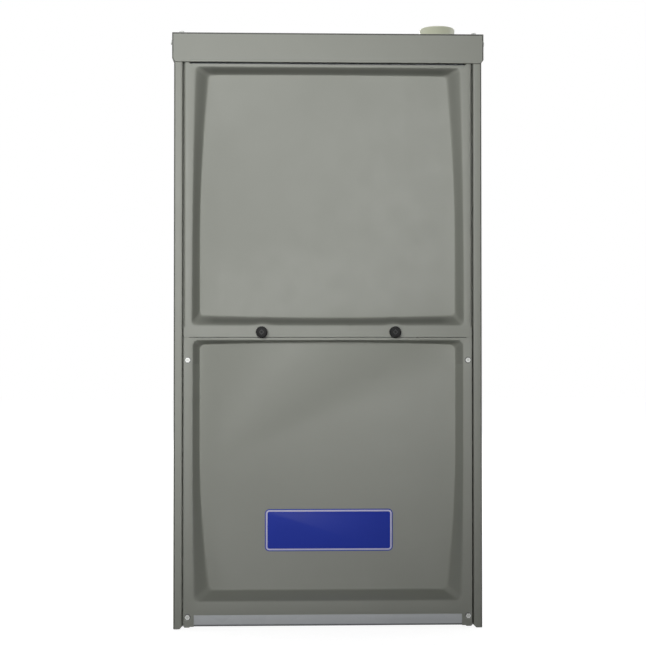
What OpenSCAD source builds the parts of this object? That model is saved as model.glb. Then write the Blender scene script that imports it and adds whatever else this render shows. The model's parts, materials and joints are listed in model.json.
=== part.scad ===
// Upflow forced air gas furnace with two pressed front doors, in millimetres.
// The front faces -Y, +X is to the right, +Z is up. The origin is on the floor,
// under the middle of the whole box. Inside in_cabinet(), y counts back from the
// front face of the cabinet.

/* [Cabinet] */
// Width over the side walls
cabinet_w = 445; // [440:1:540]
// Depth from the front flanges to the back wall
cabinet_d = 737; // [730:1:820]
// Height to the top of the front cap
cabinet_h = 857; // [850:1:940]
// Thickness of the sheet steel
sheet_t = 1; // [0.8:0.1:1.1]
// Radius of a fold, at the middle of the sheet
fold_r = 1.6; // [1.2:0.1:2]
// Width of the front flanges beside the doors
flange_w = 12.5; // [11:0.5:14]
// Depth of the fold behind a front flange
flange_return = 16; // [15:0.5:18]
// Width of the lip at the back of that fold
flange_lip = 6.5; // [5:0.5:8]
// Cut across the lower inner corner of a front flange
flange_cut = 3.6; // [2:0.2:5]
// Height of the duct flange round the supply opening
duct_flange_h = 20; // [12:1:30]
// Margin between the supply opening and the side walls
supply_margin = 22; // [18:1:40]
// Margin between the return opening and the side walls
return_margin = 36; // [34:1:60]
// Radius of a hole for a levelling foot
foot_hole_r = 4.2; // [3:0.1:5]
// Radius of the combustion air hole in the top
air_hole_r = 30; // [24:1:34]

/* [Top cap] */
// Height of the front of the cap
cap_h = 41.8; // [36:0.2:46]
// How far the cap stands in front of the flanges
cap_stand = 5; // [4:0.5:8]
// How far the cap stands out past each side wall
cap_overhang = 2.5; // [2:0.5:4]
// Depth of the top of the cap
cap_depth = 50; // [40:1:60]
// Cut across the lower corners of the cap
cap_cut = 5; // [3:0.5:7]

/* [Doors] */
// Height of the seam between the doors
seam_z = 418.4; // [414:0.2:422]
// Gap between the doors at the seam
seam_gap = 0.8; // [0.6:0.1:1.2]
// Gap between a door and the cabinet flange beside it
door_side_gap = 2.5; // [2:0.25:3]
// Width of jamb that shows beside the upper door
jamb_show = 4; // [3:0.5:5]
// Gap between the cap and the upper door
door_top_gap = 2.4; // [2:0.1:5]
// Lowest edge of the lower door's side tabs above the floor
tab_z = 3.4; // [3:0.2:5]
// Height of the lower door's bottom edge between its tabs
door_bottom_z = 20; // [18:0.5:22]
// Width of the lower door's side tabs
tab_w = 14.5; // [13:0.5:16]
// Clearance between a closed door and what is behind it
door_seat = 0.3; // [0.2:0.1:0.6]

/* [Door pressings] */
// Depth of the pressed panels behind the door faces
recess_depth = 24; // [16:1:28]
// Wall of the upper pressing at its widest, seen from the front
upper_wall_w = 12; // [10:0.2:14]
// How much narrower the upper door's inner panel is at its top
upper_taper = 13.4; // [6:0.2:18]
// How much narrower the lower door's inner panel is at its bottom
lower_taper = 15.3; // [6:0.5:18]
// Wall of the lower pressing, seen from the front
lower_wall_w = 10.4; // [9:0.2:14]
// Flat flange between a door's side edge and its pressing
door_flange_w = 10.2; // [10:0.1:14]
// Flange between a door's top edge and its pressing
door_rim = 3.2; // [3:0.2:5]
// Height of the upper door's bottom band that carries the knobs
knob_band_h = 15.6; // [15:0.2:19]
// Flange below the lower pressing
lower_band_h = 18; // [14:1:24]

/* [Knobs and screws] */
// Radius of a door knob
knob_r = 8.4; // [7:0.2:9]
// How far a knob stands in front of the door
knob_reach = 13; // [10:0.5:16]
// Distance of each knob from the middle
knob_x = 96; // [70:1:120]
// Radius of a knob's threaded shank
knob_shank_r = 2.4; // [2:0.1:3]
// Radius of a casing screw's shank
screw_r = 1.9; // [1.6:0.1:2.1]
// Radius of a casing screw's washer face
screw_washer_r = 4.8; // [4:0.1:5.2]
// Width across the flats of a hex head
hex_flats = 6.4; // [5.5:0.1:7]
// Height of a screw head with its washer face
screw_head_h = 3; // [2:0.2:4]
// Distance of the lower door's screws from the middle
door_screw_inset = 5.5; // [5:0.25:6]

/* [Badge] */
// Width of the bare badge plate
badge_w = 186; // [120:1:220]
// Height of the badge plate
badge_h = 61; // [40:1:80]
// Thickness of the badge plate
badge_t = 1.2; // [0.8:0.1:2]
// Height of the badge's middle above the floor
badge_z = 138; // [110:1:200]
// Distance of the badge's middle to the right of the door's
badge_x = 1.6; // [-20:0.4:20]

/* [Partitions] */
// Distance of the burner partition behind the front
vestibule_y = 300; // [296:1:306]
// Thickness of the insulation blankets
blanket_t = 10; // [6:1:12]
// Height of the middle rail
rail_h = 13.2; // [12.6:0.1:13.6]

/* [Blower] */
// Radius of the blower wheel over its blades
wheel_r = 119; // [110:1:122]
// Width of the blower wheel
wheel_w = 196; // [170:1:200]
// Number of blades round the wheel
blade_count = 36; // [24:1:42]
// Depth of a blade from the rim inwards
blade_depth = 19; // [15:0.5:22]
// Clearance between the wheel and the tongue of the scroll
tongue_gap = 13; // [9:1:16]
// Growth of the scroll from its tongue to its mouth
scroll_growth = 58; // [50:1:62]
// Width of the blower housing
housing_w = 230; // [226:1:250]
// Gap between the burner partition and the blower's mouth
mouth_gap = 6; // [4:1:30]
// Height of the blower shaft
blower_z = 215; // [205:1:222]
// Radius of the blower motor
motor_r = 66; // [56:1:70]
// Length of the blower motor
motor_l = 115; // [105:1:130]
// Radius of the blower motor's shaft
shaft_r = 6.35; // [5:0.05:8]
// Running clearance of shafts in their bearings
running_fit = 0.05; // [0.02:0.01:0.1]

/* [Heat exchanger] */
// Outer radius of a heat exchanger tube
tube_r = 22; // [18:0.5:23]
// Wall of a heat exchanger tube
tube_wall = 1.2; // [0.8:0.1:2]
// Distance of the first tube from the left wall
row_inset = 84; // [80:1:90]
// Distance between neighbouring tubes
tube_pitch = 75; // [70:0.5:76]
// Bend radius of the tubes between two passes
bend_r = 33; // [31:0.5:33.5]
// Height of the burners and of the first pass
burner_z = 745; // [742:1:752]
// Distance of the rear header box from the back wall
header_inset = 86; // [80:1:90]
// Depth of the rear header box
header_d = 42; // [30:1:50]
// Number of fins on the secondary coil
fin_count = 18; // [8:1:24]

/* [Burners and gas] */
// Outer radius of the gas manifold pipe
pipe_r = 10.7; // [8:0.1:13]
// Distance of the manifold behind the front
manifold_y = 105; // [100:1:112]
// Height of the gas valve
valve_z = 650; // [640:1:655]
// Radius of the gas valve's threaded inlet
gas_port_r = 10.3; // [8:0.1:12]
// Radius of the gas pipe hole in the side wall
gas_hole_r = 20; // [16:1:24]

/* [Inducer and vent] */
// Outer radius of the vent coupling
vent_r = 28.5; // [28:0.1:29.5]
// Radius of the socket that takes the vent pipe
vent_socket_r = 24.2; // [23:0.1:25]
// Depth of the socket
vent_socket_l = 38; // [30:1:45]
// How far the coupling stands above the cabinet
vent_rise = 65; // [60:1:70]
// Distance of the vent behind the front
vent_y = 242; // [238:1:246]
// Distance of the vent from the right side wall
vent_inset = 36.5; // [35:0.5:38]
// Radius of the inducer wheel
inducer_wheel_r = 52; // [44:1:54]

/* [Controls] */
// Width of the control board
board_w = 160; // [120:1:170]
// Height of the control board
board_h = 120; // [90:1:124]
// Radius of the conduit hole
conduit_r = 11.1; // [10:0.1:14]
// Travel of the door switch plunger
plunger_travel = 2.5; // [1.5:0.1:3]

/* [Hidden] */
$fn = 48;

// Derived sizes ----------------------------------------------------------
half_w = cabinet_w / 2;
skin_x = half_w - sheet_t;
front_y = (knob_reach - cabinet_d) / 2;
back_y = cabinet_d - sheet_t;
wrapper_h = cabinet_h - 2 * sheet_t;
// Gap between a piece and the seat that carries it
seat_gap = 0.3;
// Overrun of a cutting shape
cut = 1;
paint = [0.56, 0.57, 0.53];
galvanised = [0.70, 0.72, 0.74];
zinc = [0.78, 0.78, 0.76];
black = [0.10, 0.10, 0.10];

// Doors and jambs
opening_x = half_w - flange_w;
door_x = opening_x - door_side_gap;
upper_x = door_x - jamb_show;
jamb_out_x = door_x - 0.2;
jamb_w = 8.3;
jamb_in_x = jamb_out_x - jamb_w;
jamb_leg_y = 14;
door_back_y = sheet_t + door_seat;
cap_low_z = cabinet_h - cap_h;
door_top_z = cap_low_z - door_top_gap;
upper_low_z = seam_z + seam_gap / 2;
lower_top_z = seam_z - seam_gap / 2;
knob_z = upper_low_z + (knob_band_h - 1.2) / 2;
door_screw_x = door_x - door_screw_inset;
door_screw_zs = [17.4, lower_top_z - 32.3];
return_flange_x = jamb_in_x - 0.8;
return_flange_d = 12;
tab_xs = [-120, 120];
tab_reach = 12;
locating_tab_w = 24;
panel_back_y = recess_depth + sheet_t;
head_slope = 9;
foot_slope = 17.5;
upper_taper_rise = 126;
lower_taper_drop = 159;

// Partitions and rails
rail_z = lower_top_z + 1.2;
deck_z = rail_z + sheet_t;
deck_top = deck_z + sheet_t;
deck_front_y = jamb_leg_y + 4;
pan_front_y = 20;
base_rail_h = 33;
pan_screw_z = 16;
return_ys = [80, cabinet_d - 37];
foot_ys = [48, cabinet_d - 19];
wire_hole_at = [-120, 60];
wire_hole_r = 14;
air_hole_at = [-150, 150];
supply_ys = [vestibule_y + 14, cabinet_d - 22];

// Blower
wheel_in_r = wheel_r - blade_depth;
tongue_angle = 55;
scroll_r0 = wheel_r + tongue_gap;
scroll_r1 = scroll_r0 + scroll_growth;
mouth_top = deck_z - seat_gap;
blower_y = vestibule_y + mouth_gap + scroll_r1;
mouth_ys = [blower_y - scroll_r1, blower_y + scroll_r0 * cos(tongue_angle)];
hanger_lip_z = deck_z - 8.4;
inlet_r = wheel_in_r + 4;
inlet_depth = 12;
motor_x = -25;

// Heat exchanger and burners
row_x = row_inset - skin_x + 1.5 * tube_pitch;
tube_xs = [for (i = [0:3]) row_x + (i - 1.5) * tube_pitch];
row_half = 1.5 * tube_pitch + tube_r;
pass_z = [burner_z, burner_z - 2 * bend_r, burner_z - 4 * bend_r];
header_y = back_y - header_inset;
tube_back_y = header_y - 30;
tube_front_y = vestibule_y + bend_r + tube_r + 9;
header_zs = [470, pass_z[2] + tube_r + 5];
coil_zs = [480, 568];
coil_tube_r = 6;
burner_box_ys = [195, vestibule_y];
burner_box_h = 88;
burner_tip_y = vestibule_y - 15;
burner_back_y = 138;
orifice_y = burner_back_y - 7;
limit_inset = 55;

// Gas valve
valve_x = row_x - 1.5 * tube_pitch - 27.5;
valve_size = [72, 64, 52];
elbow_r = 35;

// Inducer and vent
vent_x = half_w - vent_inset;
vent_pipe_r = vent_socket_r - 0.1;
coupling_top = cabinet_h + vent_rise;
collector_y = vestibule_y - 31;
inducer_ys = [collector_y - 2 * (collector_y - vent_y), collector_y];
inducer_r0 = inducer_wheel_r + 10;
inducer_r1 = inducer_r0 + 36;
inducer_x = vent_x - inducer_r1 + 24;
inducer_z = 525;
inducer_top = 606;
inducer_tongue = 36;
collector_zs = [coil_zs[0] - 15, coil_zs[1] + 17];
collector_xs = [tube_xs[0] - tube_r - 1, inducer_x + 38];
motor_can_r = 40;
spindle_r = 4;
pressure_x = 60;
pressure_z = burner_z - 105;

// Drain
trap_x = -skin_x + 6.5;
trap_y = 280;
trap_out_z = 432;
trap_port_r = 9;
trap_w = 42;
trap_ys = [trap_y - 42, trap_y + 18];
trap_zs = [deck_top + sheet_t, collector_zs[0] - 12];
trap_mouth_x = trap_x + trap_w + 8;
drain_x = tube_xs[0] - 6;
drain_bend = 12;

// Controls
panel_y = 160;
panel_xs = [-200, 60];
panel_drop = 176;
panel_lips = [24, 14];
board_x = panel_xs[0] + board_w / 2 + 15;
board_z = deck_z - 100;
transformer_x = 25;
switch_x = 121;
switch_z = 396;
switch_face_y = 34;
box_z = 310;
box_y = 90;

// Helpers -----------------------------------------------------------------
module in_cabinet() { translate([0, front_y, 0]) children(); }

module block(xs, ys, zs) {
    translate([xs[0], ys[0], zs[0]]) cube([xs[1] - xs[0], ys[1] - ys[0], zs[1] - zs[0]]);
}

// Profiles drawn in X and Y, in Y and Z, and in X and Z
module rise(zs) { translate([0, 0, zs[0]]) linear_extrude(zs[1] - zs[0]) children(); }
module across(xs) {
    translate([xs[0], 0, 0]) rotate([90, 0, 90]) linear_extrude(xs[1] - xs[0]) children();
}
module deep(ys) {
    translate([0, ys[1], 0]) rotate([90, 0, 0]) linear_extrude(ys[1] - ys[0]) children();
}

module rod_x(r, xs, y, z) {
    translate([xs[0], y, z]) rotate([0, 90, 0]) cylinder(r = r, h = xs[1] - xs[0]);
}
module rod_y(r, ys, x, z) {
    translate([x, ys[1], z]) rotate([90, 0, 0]) cylinder(r = r, h = ys[1] - ys[0]);
}
module rod_z(r, zs, x, y) { translate([x, y, zs[0]]) cylinder(r = r, h = zs[1] - zs[0]); }

// A turned piece: profile points are [radius, distance along the axis]
module turned_y(x, y, z, points) {
    translate([x, y, z]) rotate([-90, 0, 0]) rotate_extrude() polygon(points);
}
module turned_x(x, y, z, points) {
    translate([x, y, z]) rotate([0, 90, 0]) rotate_extrude() polygon(points);
}

module both_sides() {
    children();
    mirror([1, 0, 0]) children();
}

function unit(v) = v / norm(v);
function left_of(v) = [-v[1], v[0]];
function turned(v, a) = [v[0] * cos(a) - v[1] * sin(a), v[0] * sin(a) + v[1] * cos(a)];

// One face of a folded sheet: the path's corners become arcs of radius r,
// and the whole line is moved off to its left
function folded_face(path, r, off) = [
    for (i = [0:len(path) - 1])
        let (p = path[i],
            d1 = unit(i == 0 ? path[1] - p : p - path[i - 1]),
            d2 = unit(i == len(path) - 1 ? d1 : path[i + 1] - p),
            a = atan2(cross(d1, d2), d1 * d2),
            turn = sign(a),
            start = p - d1 * r * tan(abs(a) / 2),
            centre = start + left_of(d1) * turn * r,
            steps = a == 0 ? 0 : 4)
        for (k = [0:steps])
            a == 0 ? p + left_of(d1) * off
                : centre - turned(left_of(d1) * turn, a * k / steps) * (r - turn * off)];

module folded(path) {
    front = folded_face(path, fold_r, sheet_t / 2);
    rear = folded_face(path, fold_r, -sheet_t / 2);
    polygon(concat(front, [for (i = [len(rear) - 1:-1:0]) rear[i]]));
}

function mirrored_path(path) =
    concat(path, [for (i = [len(path) - 1:-1:0]) [-path[i][0], path[i][1]]]);

// A closed skin over rings of points that all have the same count, with each end
// closed round the middle of its ring
module lofted(rings) {
    n = len(rings[0]);
    last = len(rings) - 1;
    ends = [for (ring = [rings[0], rings[last]]) [for (p = ring) 1] * ring / n];
    points = concat([for (ring = rings) for (p = ring) p], ends);
    walls = [for (k = [0:last - 1]) for (i = [0:n - 1])
        let (j = (i + 1) % n, a = k * n + i, b = k * n + j)
        each [[a, b, b + n], [a, b + n, a + n]]];
    caps = [for (i = [0:n - 1]) let (j = (i + 1) % n, far = last * n)
        each [[n * (last + 1), j, i], [n * (last + 1) + 1, far + i, far + j]]];
    polyhedron(points, concat(walls, caps));
}

// A tube of eight sides along a curve through four control points
function curve_at(c, t) = c[0] * pow(1 - t, 3) + c[1] * 3 * t * pow(1 - t, 2)
    + c[2] * 3 * t * t * (1 - t) + c[3] * pow(t, 3);
function curve_dir(c, t) = unit((c[1] - c[0]) * pow(1 - t, 2)
    + (c[2] - c[1]) * 2 * t * (1 - t) + (c[3] - c[2]) * t * t);
module hose(c, r, steps) {
    lofted([for (k = [0:steps])
        let (t = k / steps, d = curve_dir(c, t), u = unit(cross(d, [0, 1, 0.2])), v = cross(d, u))
        [for (i = [0:7]) curve_at(c, t) + r * (u * cos(45 * i) + v * sin(45 * i))]]);
}

// Hex washer head screw whose washer seats on z = 0 and whose shank points down
module screw(shank) {
    flat = hex_flats / 2 / cos(30);
    cylinder(r = screw_washer_r, h = screw_head_h * 0.3);
    difference() {
        cylinder(r = flat, h = screw_head_h, $fn = 6);
        translate([0, 0, screw_head_h - 0.5]) cylinder(r = hex_flats * 0.32, h = cut);
    }
    translate([0, 0, -shank]) cylinder(r = screw_r, h = shank + 0.2);
}
module screw_hole(depth) {
    translate([0, 0, -depth]) cylinder(r = screw_r + 0.15, h = depth + cut);
}

// Screw places: on top of the cap, on its sides, and along the side walls
module at_cap_top_screws() {
    both_sides() translate([half_w - 11, 2.5, cabinet_h]) children();
}
module at_cap_side_screws() {
    both_sides() translate([half_w + cap_overhang, 15, cabinet_h - 10])
        rotate([0, 90, 0]) children();
}
module at_wall_screws() {
    spots = [[120, wrapper_h - 8], [cabinet_d - 217, wrapper_h - 8], [120, deck_z - 6],
        [420, deck_z - 6], [cabinet_d - 87, deck_z - 6], [90, pan_screw_z], [360, pan_screw_z],
        [cabinet_d - 97, pan_screw_z]];
    both_sides() for (spot = spots)
        translate([half_w, spot[0], spot[1]]) rotate([0, 90, 0]) children();
}
module at_door_screws() {
    both_sides() for (z = door_screw_zs)
        translate([door_screw_x, 0, z]) rotate([90, 0, 0]) children();
}

// Cabinet -----------------------------------------------------------------
module cabinet_wrapper() {
    mid = sheet_t / 2;
    path = [[opening_x + mid + flange_lip, flange_return - mid],
        [opening_x + mid, flange_return - mid], [opening_x + mid, mid],
        [half_w - mid, mid], [half_w - mid, cabinet_d - mid]];
    color(paint) in_cabinet() difference() {
        rise([0, wrapper_h]) folded(mirrored_path(path));
        rod_x(gas_hole_r, [-half_w - cut, -skin_x + cut], manifold_y + 10, valve_z);
        rod_x(trap_port_r + 1, [-half_w - cut, -skin_x + cut], trap_y, trap_out_z);
        rod_x(conduit_r, [skin_x - cut, half_w + cut], box_y, box_z);
        both_sides() deep([-cut, flange_return + cut]) polygon([[opening_x - cut, -cut],
            [opening_x + flange_cut + cut, -cut], [opening_x - cut, flange_cut + cut]]);
        at_cap_side_screws() screw_hole(12);
        at_wall_screws() screw_hole(4);
    }
}

module door_jamb() {
    mid = sheet_t / 2;
    path = [[jamb_in_x + mid, jamb_leg_y], [jamb_in_x + mid, door_back_y + mid],
        [jamb_out_x - mid, door_back_y + mid], [jamb_out_x - mid, flange_return + mid],
        [opening_x + flange_lip, flange_return + mid]];
    difference() {
        rise([2, wrapper_h - 2]) folded(path);
        for (z = door_screw_zs) rod_y(screw_r + 0.3, [0, jamb_leg_y], door_screw_x, z);
    }
}
module right_door_jamb() { color(paint) in_cabinet() door_jamb(); }
module left_door_jamb() { color(paint) in_cabinet() mirror([1, 0, 0]) door_jamb(); }

module top_panel() {
    plate_zs = [wrapper_h, wrapper_h + sheet_t];
    supply_x = skin_x - supply_margin;
    color(paint) in_cabinet() difference() {
        union() {
            block([-half_w, half_w], [0.5, cabinet_d], plate_zs);
            block([-supply_x, supply_x], supply_ys, [wrapper_h, plate_zs[1] + duct_flange_h]);
            both_sides() for (ys = [[20, vestibule_y - 6], [vestibule_y + 6, back_y - 3]])
                block([skin_x - sheet_t, skin_x], ys, [wrapper_h - 15, wrapper_h]);
        }
        block([-supply_x + sheet_t, supply_x - sheet_t],
            [supply_ys[0] + sheet_t, supply_ys[1] - sheet_t],
            [wrapper_h - cut, plate_zs[1] + duct_flange_h + cut]);
        rod_z(vent_r + 0.2, [wrapper_h - cut, cabinet_h + cut], vent_x, vent_y);
        rod_z(air_hole_r, [wrapper_h - cut, cabinet_h + cut], air_hole_at[0], air_hole_at[1]);
        at_cap_top_screws() screw_hole(12);
        at_wall_screws() screw_hole(4);
    }
}

module top_front_cap() {
    mid = sheet_t / 2;
    x = half_w + cap_overhang;
    path = [[x - mid, cap_depth - 10], [x - mid, mid - cap_stand]];
    color(paint) in_cabinet() difference() {
        union() {
            rise([cap_low_z, cabinet_h]) folded(mirrored_path(path));
            block([2 - x, x - 2], [1 - cap_stand, cap_depth], [wrapper_h + sheet_t, cabinet_h]);
            block([cap_cut - x, x - cap_cut], [1 - cap_stand, -door_seat],
                [cap_low_z, cap_low_z + sheet_t]);
        }
        both_sides() deep([-cap_stand - cut, cap_depth]) polygon([[x + cut, cap_low_z - cut],
            [x - cap_cut, cap_low_z - cut], [x - cap_cut, cap_low_z],
            [x, cap_low_z + cap_cut], [x + cut, cap_low_z + cap_cut]]);
        at_cap_top_screws() screw_hole(12);
        at_cap_side_screws() screw_hole(12);
    }
}

module top_header_rail() {
    mid = sheet_t / 2;
    x = jamb_out_x - sheet_t;
    path = [[40, wrapper_h - mid], [jamb_leg_y + mid, wrapper_h - mid],
        [jamb_leg_y + mid, door_top_z - 5.4]];
    color(galvanised) in_cabinet() difference() {
        across([-x, x]) folded(path);
        for (tx = tab_xs) block([tx - locating_tab_w / 2 - 1, tx + locating_tab_w / 2 + 1],
            [jamb_leg_y - cut, jamb_leg_y + 3], [door_top_z - sheet_t - 0.6, door_top_z + 0.6]);
    }
}

module middle_rail() {
    mid = sheet_t / 2;
    y = door_back_y + mid;
    low = rail_z + mid;
    high = rail_z + rail_h - mid;
    color(galvanised) in_cabinet() difference() {
        across([-jamb_in_x, jamb_in_x]) folded([[28, high], [y, high], [y, low], [28, low]]);
        for (x = [-knob_x, knob_x])
            rod_y(knob_shank_r + 0.5, [0, 6], x, knob_z);
    }
}

module base_rail() {
    mid = sheet_t / 2;
    y = door_back_y + mid;
    low = tab_z + mid;
    high = tab_z + base_rail_h - mid;
    color(galvanised) in_cabinet()
        across([-jamb_in_x, jamb_in_x])
            folded([[15, high], [y, high], [y, low], [pan_front_y, low]]);
}

module base_pan() {
    lip_h = 25;
    x = skin_x - return_margin;
    color(galvanised) in_cabinet() difference() {
        block([-skin_x, skin_x], [pan_front_y, back_y - fold_r], [0, lip_h]);
        block([sheet_t - skin_x, skin_x - sheet_t], [pan_front_y + sheet_t, back_y - fold_r - sheet_t],
            [sheet_t, lip_h + cut]);
        block([-x, x], return_ys, [-cut, lip_h]);
        both_sides() for (y = foot_ys) rod_z(foot_hole_r, [-cut, 5], skin_x - 22, y);
        at_wall_screws() screw_hole(4);
    }
}

module blower_deck() {
    x = skin_x;
    color(galvanised) in_cabinet() difference() {
        union() {
            block([-x, x], [deck_front_y, back_y - fold_r], [deck_z, deck_top]);
            block([seat_gap - jamb_in_x, jamb_in_x - seat_gap],
                [door_back_y + sheet_t + fold_r, deck_front_y], [deck_z, deck_top]);
            both_sides() block([x - sheet_t, x], [deck_front_y, back_y - fold_r], [deck_z - 12, deck_z]);
        }
        block([4 - housing_w / 2, housing_w / 2 - 4], [mouth_ys[0] + 3, mouth_ys[1] - 3],
            [deck_z - cut, deck_top + cut]);
        rod_z(wire_hole_r, [deck_z - cut, deck_top + cut], wire_hole_at[0], wire_hole_at[1]);
        at_wall_screws() screw_hole(4);
    }
}

module vestibule_panel() {
    mid = sheet_t / 2;
    y = vestibule_y + mid;
    path = [[vestibule_y - 18, deck_top + mid], [y, deck_top + mid], [y, wrapper_h]];
    color(galvanised) in_cabinet() difference() {
        across([-skin_x, skin_x]) folded(path);
        for (x = tube_xs) rod_y(tube_r + 0.1, [y - 5, y + 5], x, burner_z);
        block([tube_xs[0] - tube_r + 5, tube_xs[3] + tube_r - 5], [y - 5, y + 5], coil_zs);
    }
}

module casing_screws() {
    color(zinc) in_cabinet() {
        at_cap_top_screws() screw(2 * sheet_t);
        at_cap_side_screws() screw(6);
        at_wall_screws() screw(3.5);
    }
}

module insulation_blankets() {
    zs = [deck_top + seat_gap, wrapper_h - 15.5];
    color([0.75, 0.76, 0.78]) in_cabinet() {
        both_sides() block([skin_x - seat_gap - blanket_t, skin_x - seat_gap],
            [vestibule_y + 3, back_y - blanket_t - 2], zs);
        block([5 - skin_x, skin_x - 5], [back_y - seat_gap - blanket_t, back_y - seat_gap], zs);
    }
}

// Vent ----------------------------------------------------------------------
module vent_coupling() {
    cream = [0.82, 0.82, 0.72];
    low = wrapper_h - 20;
    floor_z = coupling_top - vent_socket_l;
    rim = 2;
    color(cream) in_cabinet() translate([vent_x, vent_y, 0]) difference() {
        union() {
            rotate_extrude() polygon([[0, low], [vent_r, low], [vent_r, coupling_top - rim],
                [vent_r - 0.3 * rim, coupling_top - 0.4 * rim], [vent_r - rim, coupling_top],
                [0, coupling_top]]);
            translate([0, 0, cabinet_h - sheet_t]) cylinder(r = vent_r + 7, h = 4);
        }
        translate([0, 0, floor_z]) cylinder(r = vent_socket_r, h = vent_socket_l + cut);
        translate([0, 0, low - cut]) cylinder(r = vent_socket_r, h = 26);
        translate([0, 0, low]) cylinder(r = vent_socket_r - 3, h = floor_z - low + cut);
    }
}

module vent_pipe() {
    color([0.85, 0.85, 0.82]) in_cabinet() translate([vent_x, vent_y, inducer_top - 18])
        difference() {
            length = wrapper_h - inducer_top + 22;
            cylinder(r = vent_pipe_r, h = length);
            translate([0, 0, -cut]) cylinder(r = vent_pipe_r - 3.5, h = length + 2 * cut);
        }
}

// Heat exchanger --------------------------------------------------------------
// The serpentine path of one tube, drawn with radius r and run out past both ends
module serpentine(r, run_out) {
    rod_y(r, [vestibule_y - 3 - run_out, tube_back_y], 0, pass_z[0]);
    rod_y(r, [tube_front_y, tube_back_y], 0, pass_z[1]);
    rod_y(r, [tube_front_y, header_y + 4 + run_out], 0, pass_z[2]);
    translate([0, tube_back_y, pass_z[0] - bend_r]) rotate([90, 0, 90])
        rotate([0, 0, -90]) rotate_extrude(angle = 180) translate([bend_r, 0]) circle(r);
    translate([0, tube_front_y, pass_z[1] - bend_r]) rotate([90, 0, 90])
        rotate([0, 0, 90]) rotate_extrude(angle = 180) translate([bend_r, 0]) circle(r);
}
module heat_exchanger_tube(i) {
    color([0.66, 0.64, 0.60]) in_cabinet() translate([tube_xs[i], 0, 0]) difference() {
        union() {
            serpentine(tube_r, 0);
            turned_y(0, vestibule_y - 3, burner_z,
                [[tube_r - 1, 0], [tube_r + 5, 0], [tube_r + 5, 1], [tube_r, 3], [tube_r - 1, 3]]);
        }
        serpentine(tube_r - tube_wall, cut);
    }
}

module rear_header_box() {
    xs = [tube_xs[0] - tube_r - 5, tube_xs[3] + tube_r + 5];
    wall = 1.5;
    color(galvanised) in_cabinet() difference() {
        block(xs, [header_y, header_y + header_d], header_zs);
        block([xs[0] + wall, xs[1] - wall], [header_y + wall, header_y + header_d - wall],
            [header_zs[0] + wall, header_zs[1] - wall]);
        for (x = tube_xs) rod_y(tube_r + 0.1, [header_y - cut, header_y + 4], x, pass_z[2]);
        block([xs[0] + 12, xs[1] - 12], [header_y - cut, header_y + wall + cut], coil_zs);
    }
}

module secondary_coil() {
    xs = [tube_xs[0] - tube_r - 3, tube_xs[3] + tube_r + 3];
    ys = [vestibule_y + sheet_t, header_y];
    plate_zs = [coil_zs[0] - 6, coil_zs[1] + 6];
    fin_gap = (ys[1] - ys[0] - 40) / (fin_count - 1);
    color([0.72, 0.73, 0.72]) in_cabinet() {
        for (y = [ys[0], ys[1] - 2]) block(xs, [y, y + 2], plate_zs);
        for (i = [0:fin_count - 1])
            block([xs[0] + 3, xs[1] - 3], [ys[0] + 19.5 + i * fin_gap, ys[0] + 20.5 + i * fin_gap],
                coil_zs);
        for (i = [0:7]) for (z = [coil_zs[0] + 24, coil_zs[1] - 24])
            rod_y(coil_tube_r, [ys[0], ys[1]], xs[0] + 22 + i * (xs[1] - xs[0] - 44) / 7, z);
    }
}

module collector_box() {
    wall = 3;
    color([0.16, 0.17, 0.18]) in_cabinet() difference() {
        union() {
            block(collector_xs, [collector_y, vestibule_y], collector_zs);
            rod_z(trap_port_r, [collector_zs[0] - 8, collector_zs[0]], drain_x, trap_y);
            rod_y(4, [collector_y - 10, collector_y], -40, collector_zs[1] - 20);
            for (x = [-90, 10]) block([x - 1.5, x + 1.5], [collector_y - 4, collector_y],
                [collector_zs[0] + 10, collector_zs[1] - 40]);
        }
        block([collector_xs[0] + wall, collector_xs[1] - wall], [collector_y + wall, vestibule_y + cut],
            [collector_zs[0] + wall, collector_zs[1] - wall]);
        rod_y(30, [collector_y - cut, collector_y + wall + cut], inducer_x, inducer_z);
        rod_z(trap_port_r - 2, [collector_zs[0] - 10, collector_zs[0] + wall + cut], drain_x, trap_y);
        rod_y(2, [collector_y - 12, collector_y + wall + cut], -40, collector_zs[1] - 20);
    }
}

module condensate_trap() {
    color([0.88, 0.88, 0.86]) in_cabinet() difference() {
        union() {
            block([trap_x, trap_x + trap_w], trap_ys, trap_zs);
            rod_x(trap_port_r, [-half_w + 0.5, trap_x + 1], trap_y, trap_out_z);
            rod_x(trap_port_r, [trap_x + trap_w - 1, trap_mouth_x], trap_y, trap_out_z + 6);
            for (y = [trap_ys[0] + 12, trap_ys[0] + 30])
                rod_z(7, [trap_zs[1] - 1, trap_zs[1] + 6], trap_x + trap_w / 2, y);
        }
        rod_x(trap_port_r - 2, [-half_w - cut, trap_x + 10], trap_y, trap_out_z);
        rod_x(trap_port_r - 2, [trap_x + trap_w - 12, trap_mouth_x + cut], trap_y, trap_out_z + 6);
    }
}

module drain_hose() {
    z = trap_out_z + 6;
    r = trap_port_r - 2;
    color(black) in_cabinet() translate([0, trap_y, 0]) difference() {
        union() {
            translate([drain_x, 0, z + drain_bend]) cylinder(r = trap_port_r,
                h = collector_zs[0] - 8 - z - drain_bend);
            translate([trap_mouth_x, 0, z]) rotate([0, 90, 0])
                cylinder(r = trap_port_r, h = drain_x - drain_bend - trap_mouth_x);
            translate([drain_x - drain_bend, 0, z + drain_bend]) rotate([90, 0, 0])
                rotate([0, 0, -90]) rotate_extrude(angle = 90)
                    translate([drain_bend, 0]) circle(trap_port_r);
        }
        translate([drain_x, 0, z + drain_bend]) cylinder(r = r, h = 60);
        translate([trap_mouth_x - cut, 0, z]) rotate([0, 90, 0])
            cylinder(r = r, h = drain_x - drain_bend - trap_mouth_x + cut);
    }
}

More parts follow.
